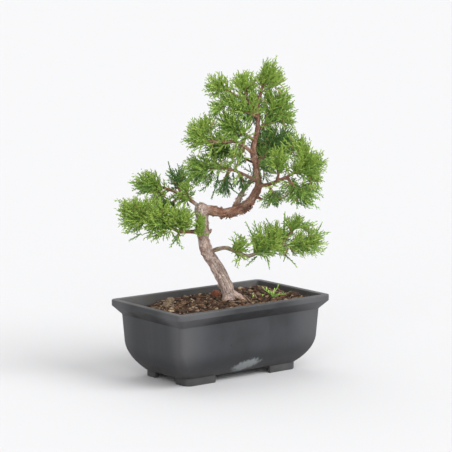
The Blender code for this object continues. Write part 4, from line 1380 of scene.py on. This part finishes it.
def grow_tuft(name, habit, seed):
    """Grows one tuft from its habit. Returns its object and its slot."""
    (slot, tone), rise, density, singles, side_twigs = habit
    dice = random.Random(seed)
    low, high = (np.array(corner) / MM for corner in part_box(f"foliage_{name}"))
    centre = (low + high) / 2
    half = (high - low) / 2 * FULLNESS_OF.get(name, FULLNESS)
    route = smooth_route(routes[LIMB_OF.get(name, name)], 2)[:, :3]
    inside = [place for place in route if np.linalg.norm((place - centre) / half) < 0.95]
    stem = np.array(inside if len(inside) > 2 else route[-3:])
    up = np.array((0, 0, 1.0))
    bundle = Bundle()

    def tone_at(place):
        # Painted shade and light: dark columns deep inside the tuft and low in it, bright ones at its outside
        # and top.
        deep = np.linalg.norm((place - centre) / half)
        height = (place[2] - centre[2]) / half[2]
        column = 1.1 + 3.6 * deep + 0.9 * height + tone + dice.uniform(-0.8, 0.8)
        return min(max(round(column), 1), COLUMNS - 2)

    def add_feather(start, tip, side_length):
        """A long shoot with straight side cords left and right, like a fern."""
        length = np.linalg.norm(tip - start)
        way = unit(tip - start)
        bow = np.array([dice.uniform(-1, 1) for _ in range(3)]) * length * 0.06
        shares = np.linspace(0, 1, 7)[:, None]
        route = start + (tip - start) * shares + bow * 4 * shares * (1 - shares)
        column = min(tone_at(start + way * length * 0.4), 3) if tone > 0 else 2
        add_twig(bundle, route, 1.5, 0.9, column=column)
        flat = unit(np.cross(way, [dice.uniform(-1, 1) for _ in range(3)]))
        sides = max(int(length / FEATHER_STEP), 3)
        for number in range(sides):
            share = 0.08 + 0.88 * number / sides
            base = place_on(route, share)
            hand = 1 if number % 2 else -1
            turn = flat * hand + np.cross(way, flat) * dice.uniform(-0.5, 0.5)
            out = unit(way + turn * dice.uniform(0.5, 0.75))
            reach = side_length * (1.05 - 0.55 * share) * dice.uniform(0.8, 1.15)
            add_spray(bundle, SPRAYS + number % 2, base, out, reach, column, 1.6, dice.uniform(0, 6.3))

    def add_shoot(start, way, kind, length, thickness):
        tip = start + way * length
        add_spray(bundle, kind, start, way, length, tone_at(tip), thickness, dice.uniform(0, 6.3))

    def clothe(twig, number, bare, end):
        """Sets sprays all round a twig, from the share bare of its length to its tip.

        With end, they stop about where the tuft's oval ends."""
        add_twig(bundle, twig, 1.25, 0.7)
        steps = max(int(np.linalg.norm(twig[-1] - twig[0]) / SPRAY_STEP), 3)
        for step in range(steps + 1):
            share = bare + (1 - bare) * step / steps
            place = place_on(twig, share)
            here = min(int(share * (len(twig) - 1)), len(twig) - 2)
            along = unit(twig[here + 1] - twig[here])
            side = turned_side(along, GOLDEN_TURN * step + number)
            lean = 0.05 if step == steps else dice.uniform(0.35, 0.9)
            outward = unit((place - centre) / half)
            pull = outward * 0.25 + heading * 0.35 + up * rise * 0.9
            shoot = unit(along + side * lean + pull)
            room = reach_along(place, shoot, centre, half, dice.uniform(0.82, 1.2)) if end else 13.0
            length = min(dice.uniform(10, 20), room)
            if length > shortest:
                add_shoot(place, shoot, dice.randrange(SPRAYS), length, SPRAY_CORD * dice.uniform(0.85, 1.1))

    def arched(start, forward, target):
        span = np.linalg.norm(target - start)
        bend = start + forward * span * 0.45 - up * 0.04 * span
        return bent_route(start, bend, target, 5)

    shortest = min(6.0, half.min() * 0.35)

    def fill(density):
        """Fans twigs out through the oval of the present centre and half size."""
        twigs = max(round(density * (half[0] + half[1]) * half[2] * math.pi / AREA_PER_TWIG), 4)
        for number in range(twigs):
            height = 1 - 2 * (number + 0.5) / twigs
            level = math.sqrt(1 - height * height)
            angle = GOLDEN_TURN * number + dice.uniform(-0.3, 0.3)
            way = np.array((level * math.cos(angle), level * math.sin(angle), height))
            target = centre + half * way * TWIG_REACH * dice.uniform(0.7, 1.1)
            near = int(np.argmin(np.linalg.norm(stem - target, axis=1)))
            forward = unit(stem[min(near + 1, len(stem) - 1)] - stem[max(near - 1, 0)])
            clothe(arched(stem[max(near - TWIG_BACK, 0)], forward, target), number, 0.3, True)

    heading = unit(centre - route[0])
    fill(density)
    whole_centre, whole_half = centre, half
    for spread_centre, spread_half in SPREAD.get(name, ()):
        centre = from_tree(spread_centre)
        half = np.array(spread_half) * FULLNESS
        nearest_rows = np.argsort(np.linalg.norm(route - centre, axis=1))[:3]
        stem = route[nearest_rows.min() :][:STEM_ROWS]
        fill(1.0)
    centre, half = whole_centre, whole_half
    for start, tip, side_length in LONG_SHOOTS.get(name, ()):
        add_feather(from_tree(start), from_tree(tip), side_length)
    # The bare stretch of the limb behind the tuft bears short side twigs as well.
    behind = [
        index
        for index in range(len(route) // 4, len(route) - 1)
        if 0.9 < np.linalg.norm((route[index] - centre) / half) < 2.4
    ]
    for number in range(min(side_twigs, len(behind))):
        index = behind[(number * 2 + 1) * len(behind) // (side_twigs * 2)]
        forward = unit(route[index + 1] - route[index])
        way = unit(forward * 0.7 + turned_side(forward, GOLDEN_TURN * number) + up * rise * 0.5)
        target = route[index] + way * dice.uniform(8, 14)
        clothe(arched(route[index], forward, target), number, 0.15, False)
    for number in range(singles):
        way = unit(np.array([dice.gauss(0, 1) for _ in range(3)]) + up * rise * 1.2)
        start = centre + half * way * dice.uniform(0.45, 0.7)
        length = reach_along(start, way, centre, half, dice.uniform(1.12, 1.36))
        add_shoot(start, unit(way + up * rise * 0.3), SPRAYS + number % 2, min(length, 17), SPRAY_CORD * 0.8)
    return bundle.mesh_object(name), slot


# %% [markdown]
# ### The foliage's finish
# The three greens share one effect, the colour chart. Its columns set the tone and its rows run
# from the darker base of a cord to its brighter tip, with the faint bands of the scale leaves
# across it. Each material only shifts the chart towards its own green: the green of tufts in light
# is painted lighter and yellower, that of tufts in shade darker and bluer.

# %% The colour chart as a reusable effect
CHART_BASE = (  # colour at a cord's base, column by column
    (0.180, 0.085, 0.050),
    (0.019, 0.044, 0.013),
    (0.030, 0.078, 0.018),
    (0.052, 0.128, 0.022),
    (0.104, 0.206, 0.033),
    (0.155, 0.275, 0.038),
    (0.219, 0.344, 0.044),
    (0.301, 0.413, 0.072),
)
CHART_TIP = (
    (0.360, 0.190, 0.095),
    (0.090, 0.172, 0.062),
    (0.182, 0.340, 0.108),
    (0.305, 0.530, 0.120),
    (0.490, 0.745, 0.150),
    (0.720, 0.930, 0.185),
    (0.880, 0.930, 0.230),
    (0.880, 0.930, 0.348),
)


def chart_ramp(recipe, across, colours):
    """A ramp of flat steps, one for each column."""
    made = recipe.node("ValToRGB", {0: across})
    ramp = made.color_ramp
    ramp.interpolation = "CONSTANT"
    while len(ramp.elements) < len(colours):
        ramp.elements.new(0.5)
    for number, colour in enumerate(colours):
        ramp.elements[number].position = number / len(colours)
    for number, colour in enumerate(colours):
        ramp.elements[number].color = (*colour, 1.0)
    return made.outputs[0]


chart_group, recipe, given, end = new_group(
    "foliage_chart",
    {"Vector": "Vector", "Tint": "Color", "Tint Share": "Float"},
    {"Colour": "Color", "Scales": "Float", "Tip": "Float"},
)
across, along, _ = recipe.axes(given["Vector"])
tip_share = recipe.span(along, 0.05, 0.95)
base_colour = chart_ramp(recipe, across, CHART_BASE)
tip_colour = chart_ramp(recipe, across, CHART_TIP)
colour = recipe.mix(tip_share, base_colour, tip_colour)
wave = recipe.node("TexWave", {"Vector": given["Vector"], "Scale": 3.4}, bands_direction="Y").outputs["Fac"]
colour = recipe.coat(colour, (0.42, 0.56, 0.20), wave, 0.16)
speck = recipe.noise(recipe.move(given["Vector"], scale=(60, 9, 1)), 1.0, detail=3.0)
colour = recipe.mix(recipe.span(speck, 0.55, 0.8, 0.0, 0.3), colour, (0.05, 0.09, 0.03))
is_green = recipe.math("GREATER_THAN", across, 1 / COLUMNS)
colour = recipe.coat(colour, given["Tint"], given["Tint Share"], is_green)
give(recipe, end, Colour=colour, Scales=wave, Tip=tip_share)


def foliage_paint(name, tint, share):
    paint, recipe = new_material(name)
    chart = recipe.node("UVMap", {}, uv_map="OFBake").outputs[0]
    leaf = recipe.group(chart_group, Vector=chart, Tint=(*tint, 1.0), Tint_Share=share)
    rough = recipe.span(leaf["Tip"], 0.0, 1.0, 0.62, 0.48)
    normal = recipe.bump(leaf["Scales"], 0.00012, 0.6)
    recipe.finish(leaf["Colour"], rough, normal, Specular_IOR_Level=0.35)
    return paint


# The same green three times, painted for tufts in light, in half light and in shade.
greens = {
    "young_foliage": foliage_paint("young_foliage", (0.30, 0.46, 0.05), 0.06),
    "foliage": foliage_paint("foliage", (0.10, 0.26, 0.05), 0.10),
    "shaded_foliage": foliage_paint("shaded_foliage", (0.07, 0.20, 0.08), 0.25),
}

# %% Grow them all
faces_in_all = 0
for number, (tuft_name, habit) in enumerate(TUFTS.items()):
    tuft, tuft_slot = grow_tuft(tuft_name, habit, number + 100)
    faces_in_all += len(tuft.data.polygons)
    finish(tuft, f"shoots_{tuft_name}", tuft_slot, greens[tuft_slot], f"foliage_{tuft_name}")
print("faces in the foliage:", faces_in_all)

# %% [markdown]
# ## The soil
# The pot is filled with coarse bark soil: crumbs, chips and threads of bark, from 1 mm to 8 mm,
# with a hollow in the back left corner and a low mound round the trunk. The ground under the loose
# pieces is one solid. A fine grid gives its top, its edge is extruded down inside the pot's wall,
# and its height is the model's own soil height with smaller and smaller lumps on top.

# %% How high the soil stands
SOIL_LEVEL = 74.0
MOUND = (2.0, 35.0)
HOLLOW = (11.0, 32.0)
HOLLOW_PLACE = (-90.0, 50.0)
SOIL_TILT = 0.012


def soil_height(x, y):
    mound = MOUND[0] * math.exp(-((x - TREE_FOOT[0]) ** 2 + y**2) / MOUND[1] ** 2)
    from_hollow = (x - HOLLOW_PLACE[0]) ** 2 + (y - HOLLOW_PLACE[1]) ** 2
    hollow = HOLLOW[0] * math.exp(-from_hollow / HOLLOW[1] ** 2)
    coarse = 0.9 * noise.noise(Vector((x, y, 0)) * 0.08)
    fine = 0.5 * noise.noise(Vector((x, y, 9)) * 0.2)
    return SOIL_LEVEL + mound - hollow + SOIL_TILT * x + coarse + fine


def crumbs(x, y):
    """The rough surface of packed crumbs, in mm."""
    place = Vector((x, y, 0))
    big = 1 - 2 * abs(noise.noise(place * 0.28))
    small = 1 - 2 * abs(noise.noise(place * 0.75 + Vector((5, 5, 5))))
    return 1.0 * big + 0.7 * small + 0.35 * noise.noise(place * 2.2) - 0.9


# %% The ground
SOIL_GAP = 0.5
SOIL_CELLS = (230, 140)
EDGE_LEVEL = 70.0  # where the ground's edge fits the pot's wall
SIDE_LEVELS = (58.0, 40.0, 24.0, 12.0)  # the rings down the ground's side
SOIL_CORNER = 3.0  # the ground's corners are rounded, like the pot's


def soil_half(z):
    inset = inner_inset(z) + SOIL_GAP
    return HALF_LENGTH - inset, HALF_WIDTH - inset


half_x, half_y = soil_half(EDGE_LEVEL)
bpy.ops.mesh.primitive_grid_add(x_subdivisions=SOIL_CELLS[0], y_subdivisions=SOIL_CELLS[1], size=2 * MM)
ground = bpy.context.object
edit_mode()
bpy.ops.transform.resize(value=(half_x, half_y, 1))
mesh = bmesh.from_edit_mesh(ground.data)
for edge in mesh.edges:
    edge.select = edge.is_boundary
for face in mesh.faces:
    face.select = False
bmesh.update_edit_mesh(ground.data)
last = (half_x, half_y)
for z in SIDE_LEVELS:
    now = soil_half(z)
    bpy.ops.mesh.extrude_edges_move(TRANSFORM_OT_translate={"value": (0, 0, 0)})
    bpy.ops.transform.resize(value=(now[0] / last[0], now[1] / last[1], 1))
    mesh = bmesh.from_edit_mesh(ground.data)
    for vert in mesh.verts:
        if vert.select:
            vert.co.z = z * MM
    bmesh.update_edit_mesh(ground.data)
    last = now
bpy.ops.mesh.edge_face_add()
face_outward(ground)
for vert in ground.data.vertices:
    if vert.co.z != 0:
        continue
    x, y = vert.co.x / MM, vert.co.y / MM
    over = Vector((max(abs(x) - half_x + SOIL_CORNER, 0), max(abs(y) - half_y + SOIL_CORNER, 0)))
    if over.length > SOIL_CORNER and over.x > 0 and over.y > 0:
        over = over.normalized() * SOIL_CORNER
        x = math.copysign(half_x - SOIL_CORNER + over.x, x)
        y = math.copysign(half_y - SOIL_CORNER + over.y, y)
    height = soil_height(x, y)
    edge = min(half_x - abs(x), half_y - abs(y))
    height += crumbs(x, y) * min(0.5 + edge / 4, 1.0) - 0.5
    vert.co = Vector((x, y, height)) * MM
pick(ground)
bpy.ops.object.shade_smooth()
print("ground faces:", len(ground.data.polygons))

# %% [markdown]
# ### Loose crumbs, chips and threads
# The coarse look comes from loose pieces. Six rough chips are modelled: a cube is subdivided once,
# and its points are scattered a little at random. Flattened copies are strewn over the ground, sunk
# in by a third, most of them lying flat. One thread in three lies in a nest at the back left. They
# all use a colour chart of their own, with eight columns from black peat to pale dry wood.

# %% Six rough chips
chip_shapes = []
for seed in range(6):
    bpy.ops.mesh.primitive_cube_add(size=1.0, location=(0, 0, 0))
    chip = bpy.context.object
    edit_mode()
    select_all()
    bpy.ops.mesh.subdivide(number_cuts=1, smoothness=0.7)
    bpy.ops.transform.vertex_random(offset=0.16, seed=seed)
    object_mode()
    chip_shapes.append(coordinates(chip))
    bpy.data.objects.remove(chip)
print("a chip has", len(chip_shapes[0][1]), "faces")

# %% Strewn over the ground
CHIPS = 3300
THREADS = 200
TRUNK_CLEAR = 8.0
dice = random.Random(11)


def add_chip(bundle, place, size, turn, column):
    shape, faces = dice.choice(chip_shapes)
    flow = shape[:, 1] * 0.8 + shape[:, 2] * 0.6
    flow = 0.5 + flow / 1.6
    maps = []
    for face in faces:
        for corner in face:
            across = np.clip(shape[corner, 0], -0.5, 0.5) * 0.6
            maps.append(((column + 0.5 + across) / COLUMNS, np.clip(flow[corner], 0.02, 0.98)))
    bundle.add(shape * size @ turn.T + place, faces, np.array(maps))


def strewn_place(margin):
    while True:
        x = dice.uniform(-half_x + margin, half_x - margin)
        y = dice.uniform(-half_y + margin, half_y - margin)
        if math.hypot(x - TREE_FOOT[0], y - TREE_FOOT[1]) > TRUNK_CLEAR:
            return x, y


litter = Bundle()
for _ in range(CHIPS):
    length = 1.1 + 4.4 * dice.random() ** 2.6
    size = np.array((length, length * dice.uniform(0.25, 0.65), length * dice.uniform(0.2, 0.45)))
    x, y = strewn_place(length * 0.55 + 0.3)
    flat = dice.gauss(0, 0.35)
    spin = Matrix.Rotation(dice.uniform(0, 6.3), 3, "Z") @ Matrix.Rotation(flat, 3, "X")
    spin = np.array(spin @ Matrix.Rotation(dice.gauss(0, 0.3), 3, "Y"))
    place = np.array((x, y, soil_height(x, y) + crumbs(x, y) - 0.5 + size[2] * 0.15))
    column = dice.choices(range(COLUMNS), weights=(6, 8, 8, 6, 4, 2.4, 1.4, 0.6))[0]
    add_chip(litter, place, size, spin, column)
for number in range(THREADS):
    x, y = strewn_place(6.0) if number % 3 else (dice.gauss(-45, 12), dice.gauss(30, 8))
    x, y = np.clip(x, -80, 80), np.clip(y, -40, 42)
    angle = dice.uniform(0, 6.3)
    length = dice.uniform(3, 9)
    thread = []
    for step in range(5):
        angle += dice.uniform(-0.45, 0.45)
        x += math.cos(angle) * length / 5
        y += math.sin(angle) * length / 5
        thread.append((x, y, soil_height(x, y) + 0.9 + (0.9 * dice.random() if step % 2 else 0.0)))
    add_twig(litter, thread, 0.45, 0.2, column=dice.choice((4, 5, 6, 7)))
chips = litter.mesh_object("soil_chips")

# %% [markdown]
# ### The soil's finish
# Damp bark is dark brown with reddish and grey pieces and a little pale fibre. The ground gets
# mottled by place. The chips read their own chart, with a streak along each chip.

# %% Damp bark
BARK_DARK = (
    (0.012, 0.008, 0.006),
    (0.024, 0.014, 0.009),
    (0.045, 0.024, 0.014),
    (0.075, 0.036, 0.020),
    (0.105, 0.060, 0.036),
    (0.150, 0.098, 0.062),
    (0.230, 0.165, 0.105),
    (0.340, 0.260, 0.170),
)
BARK_LIGHT = (
    (0.040, 0.026, 0.018),
    (0.070, 0.042, 0.027),
    (0.120, 0.066, 0.038),
    (0.185, 0.092, 0.052),
    (0.240, 0.155, 0.098),
    (0.320, 0.225, 0.150),
    (0.430, 0.330, 0.225),
    (0.600, 0.490, 0.340),
)
soil_paint, recipe = new_material("bark_soil")
cloud = recipe.group(cloudy_group, Vector=recipe.place(), Patch_Scale=160.0, Grain_Scale=1100.0)
colour = recipe.mix(cloud["Patches"], (0.020, 0.012, 0.008), (0.070, 0.038, 0.022))
colour = recipe.mix(recipe.span(cloud["Grain"], 0.55, 0.75), colour, (0.135, 0.082, 0.050))
height = recipe.plus(cloud["Grain"], cloud["Patches"])
recipe.finish(colour, 0.92, recipe.bump(height, 0.0007, 0.8), Specular_IOR_Level=0.2)
finish(ground, "soil_ground", "bark_soil", soil_paint, "soil")

chip_paint, recipe = new_material("bark_chips")
chart = recipe.node("UVMap", {}, uv_map="OFBake").outputs[0]
across, along, _ = recipe.axes(chart)
streak = recipe.noise(recipe.move(chart, scale=(70, 22, 1)), 1.0, detail=4.0, rough=0.65)
streak = recipe.span(streak, 0.3, 0.7)
colour = recipe.mix(streak, chart_ramp(recipe, across, BARK_DARK), chart_ramp(recipe, across, BARK_LIGHT))
recipe.finish(colour, 0.88, recipe.bump(streak, 0.0002, 0.6), Specular_IOR_Level=0.22)
finish(chips, "soil_chips", "bark_soil", chip_paint, "soil")

# %% [markdown]
# ### Lumps on the soil
# Eight bigger pieces lie on top: a red-brown lump of bark beside the trunk, a stone, two pale
# fibrous chips and four dark chips. Each starts as a fine ball of its own size, at its solid's
# place, and bark has both ends broken off flat. A Displace modifier with big clouds breaks the
# outline. Then the piece is shortened to a third of its length, small clouds are laid on it, and it
# is stretched back, so that the small clouds become long splits, as in bark.

# %% The eight lumps
LUMPS = {  # slot, size, how rough its outline is, how deep it is split, and its turn in degrees
    "red_bark_lump": ("red_bark", (12, 10, 9), 1.6, 0.8, 20),
    "brown_stone": ("brown_stone", (13, 11, 9), 1.1, 0.1, -15),
    "pale_chip_large": ("pale_bark", (16, 9, 7), 1.6, 1.3, 30),
    "pale_chip_small": ("pale_bark", (11, 7, 6), 1.3, 1.1, -40),
    "dark_chip_left": ("dark_bark", (15, 10, 6), 1.6, 1.0, 10),
    "dark_chip_front": ("dark_bark", (14, 9, 6), 1.5, 1.0, 65),
    "dark_chip_right": ("dark_bark", (14, 10, 8), 1.7, 1.0, -35),
    "dark_chip_back": ("dark_bark", (13, 9, 7), 1.5, 0.9, 15),
}
BEFORE_ROUGH = 0.93  # the share of its size that a lump has before the clouds swell it
BREAK_PLACE = 0.34  # where a bark lump is broken off, as a share of its length from the middle
SPLIT_SHARE = 0.3  # how short a lump is made while its splits are laid on


def clouds(name, size):
    texture = bpy.data.textures.new(name, "CLOUDS")
    texture.noise_scale = size * MM
    texture.noise_depth = 3
    return texture


def displace(piece, texture, strength):
    modifier = piece.modifiers.new(texture.name, "DISPLACE")
    modifier.texture = texture
    modifier.texture_coords = "LOCAL"
    modifier.strength = strength * MM
    modifier.mid_level = 0.5
    apply_modifiers(piece)


def stretch(piece, share):
    """Makes the piece longer or shorter, and keeps that in its mesh."""
    piece.scale = (share, 1.0, 1.0)
    bpy.ops.object.transform_apply(location=False, rotation=False, scale=True)


big_clouds = clouds("big_clouds", 5.0)
small_clouds = clouds("small_clouds", 1.6)


def make_lump(node, size, rough, split, turn):
    low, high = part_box(node)
    bpy.ops.mesh.primitive_ico_sphere_add(subdivisions=5, radius=0.5 * MM)
    piece = bpy.context.object
    edit_mode()
    bpy.ops.transform.resize(value=[side * BEFORE_ROUGH for side in size])
    if split > 0.5:
        for side in (-1, 1):
            select_all()
            bpy.ops.mesh.bisect(
                plane_co=(side * BREAK_PLACE * size[0] * MM, 0, 0),
                plane_no=(side, 0.25, -0.3 * side),
                clear_outer=True,
                use_fill=True,
            )
    select_all()
    object_mode()
    displace(piece, big_clouds, rough)
    stretch(piece, SPLIT_SHARE)
    displace(piece, small_clouds, split)
    stretch(piece, 1 / SPLIT_SHARE)
    piece.rotation_euler = (0, 0, math.radians(turn))
    piece.location = (low + high) / 2
    bpy.ops.object.shade_smooth_by_angle(angle=math.radians(50))
    return piece


def lump_paint(name, dark, light, across, along, turn):
    paint, recipe = new_material(name)
    back = (0, 0, -math.radians(turn))
    turned = recipe.move(recipe.place(), rotation=back, scale=(along, across, across))
    fine = recipe.group(grain_group, Vector=turned, Across=1.0, Along=1.0)
    cloud = recipe.group(cloudy_group, Vector=recipe.place(), Patch_Scale=200.0, Grain_Scale=1400.0)
    colour = recipe.mix(fine["Ridges"], dark, light)
    colour = recipe.coat(colour, dark, cloud["Patches"], 0.5)
    colour = recipe.coat(colour, [value * 0.4 for value in dark], fine["Cracks"], 0.4)
    height = recipe.plus(fine["Ridges"], recipe.times(cloud["Grain"], 0.5))
    recipe.finish(colour, 0.88, recipe.bump(height, 0.0004, 0.8), Specular_IOR_Level=0.25)
    return paint


lump_finishes = {
    "red_bark": ((0.12, 0.035, 0.022), (0.42, 0.16, 0.10), 1400.0, 500.0),
    "brown_stone": ((0.075, 0.045, 0.032), (0.22, 0.145, 0.105), 420.0, 420.0),
    "pale_bark": ((0.085, 0.055, 0.034), (0.40, 0.30, 0.20), 1700.0, 200.0),
    "dark_bark": ((0.022, 0.012, 0.008), (0.12, 0.07, 0.042), 1500.0, 350.0),
}
for lump_name, (lump_slot, *shape) in LUMPS.items():
    paint = lump_paint(f"{lump_name}_paint", *lump_finishes[lump_slot], shape[-1])
    finish(make_lump(lump_name, *shape), f"{lump_name}_piece", lump_slot, paint, lump_name)

# %% [markdown]
# ### Straws and a seedling
# Two dry straws lie in front of the tree. Each is a thin bent stalk with two joints, and its ends
# are frayed into splinters. The seedling is a small weed: four thin stems with narrow pointed
# leaves set left and right.

# %% Straws
STRAWS = {
    "straw_long": ((34, 4, 1.2), (27, -10, 0.8), (19, -24, 1.6)),
    "straw_short": ((44, -2, 1.0), (36, -16, 0.6), (31, -26, 2.2)),
}
STRAW_WIDTH = 1.4


def on_soil(route):
    return [(x, y, z + soil_height(x, y)) for x, y, z in route]


def smooth_places(points, steps):
    return smooth_route([(*point, 1.0) for point in points], steps)[:, :3]


for straw_name, points in STRAWS.items():
    bundle = Bundle()
    dice = random.Random(len(straw_name))
    route = smooth_places(on_soil(points), 8)
    route += [(dice.uniform(-0.15, 0.15), dice.uniform(-0.15, 0.15), 0.0) for _ in route]
    add_twig(bundle, route, STRAW_WIDTH, STRAW_WIDTH * 0.75, column=6, sides=8)
    for end_place, way in ((route[0], route[0] - route[1]), (route[-1], route[-1] - route[-2])):
        for _ in range(4):
            turn = np.array([dice.uniform(-0.5, 0.5) for _ in range(3)])
            tip = end_place + unit(unit(way) + turn * 0.5) * dice.uniform(1.5, 3.2)
            frayed = (end_place + turn * 0.6 - unit(way), (end_place + tip) / 2 + turn * 0.5, tip)
            add_twig(bundle, frayed, 0.5, 0.15, column=7)
    for knot in (0.33, 0.7):
        here = route[int(knot * len(route))]
        joint = (here - unit(way) * 0.5, here, here + unit(way) * 0.5)
        add_twig(bundle, joint, 1.8, 1.7, column=5, sides=8)
    straw = bundle.mesh_object(straw_name)
    finish(straw, f"{straw_name}_piece", "straw", chip_paint, straw_name)

# %% The seedling
WEED_STEMS = (
    ((58, -16, -2), (60, -14, 4), (66, -13, 9)),
    ((58, -16, 0), (55, -19, 3), (50, -21, 5)),
    ((58, -16, 0), (62, -20, 3), (68, -25, 4)),
    ((58, -16, 0), (57, -11, 4), (54, -6, 7)),
)
LEAF_SECTION = ((-0.5, 0.0), (0.0, -0.12), (0.5, 0.0), (0.0, 0.06))


def add_leaf(bundle, start, way, length, width, column):
    """A narrow pointed leaf, folded along its middle and arched, as a thin closed shape."""
    way = unit(np.asarray(way, float))
    side = unit(np.cross(way, (0, 0, 1.0)))
    up = np.cross(side, way)
    shares = (0.0, 0.25, 0.55, 0.82, 1.0)
    widths = (0.25, 0.8, 1.0, 0.6, 0.06)
    places, round_share, along_share = [], [], []
    for share, wide in zip(shares, widths):
        spine = start + way * length * share + up * length * 0.22 * (share - share**2 * 1.4)
        for number, (across, rise) in enumerate(LEAF_SECTION):
            places.append(spine + side * across * wide * width + up * rise * width)
            round_share.append(number / 4)
            along_share.append(share)
    faces = [(3, 2, 1, 0), (16, 17, 18, 19)]
    for ring in range(4):
        for step in range(4):
            after = (step + 1) % 4
            faces.append((ring * 4 + step, ring * 4 + after, ring * 4 + 4 + after, ring * 4 + 4 + step))
    bundle.add(np.array(places), faces, chart_places(faces, round_share, along_share, column))


weed = Bundle()
dice = random.Random(3)
for stem in WEED_STEMS:
    route = smooth_places(on_soil(stem), 5)
    add_twig(weed, route, 0.9, 0.5, column=4, sides=6)
    along = unit(route[-1] - route[0])
    for number, share in enumerate(np.linspace(0.2, 1.0, 7)):
        place = route[int(share * (len(route) - 1))]
        hand = 1 if number % 2 else -1
        rise = np.array((0, 0, dice.uniform(0.3, 1.0)))
        way = along * 0.7 + np.cross(along, (0, 0, 1)) * hand * 0.9 + rise
        if share == 1.0:
            way = along + np.array((0, 0, 0.4))
        add_leaf(weed, place, way, dice.uniform(3.5, 6.0), dice.uniform(0.9, 1.5), dice.choice((3, 4, 4, 5)))
for x, y in ((49, -8), (38, -6)):
    base = np.array((x, y, soil_height(x, y)))
    add_twig(weed, (base, base + (0.4, 0, 1.4), base + (0.6, 0.2, 2.6)), 1.6, 1.9, column=5, sides=6)
seedling = weed.mesh_object("weed")
face_outward(seedling)
weed_paint = foliage_paint("weed_green", (0.20, 0.50, 0.06), 0.35)
finish(seedling, "seedling", "weed_green", weed_paint, "weed_sprig")
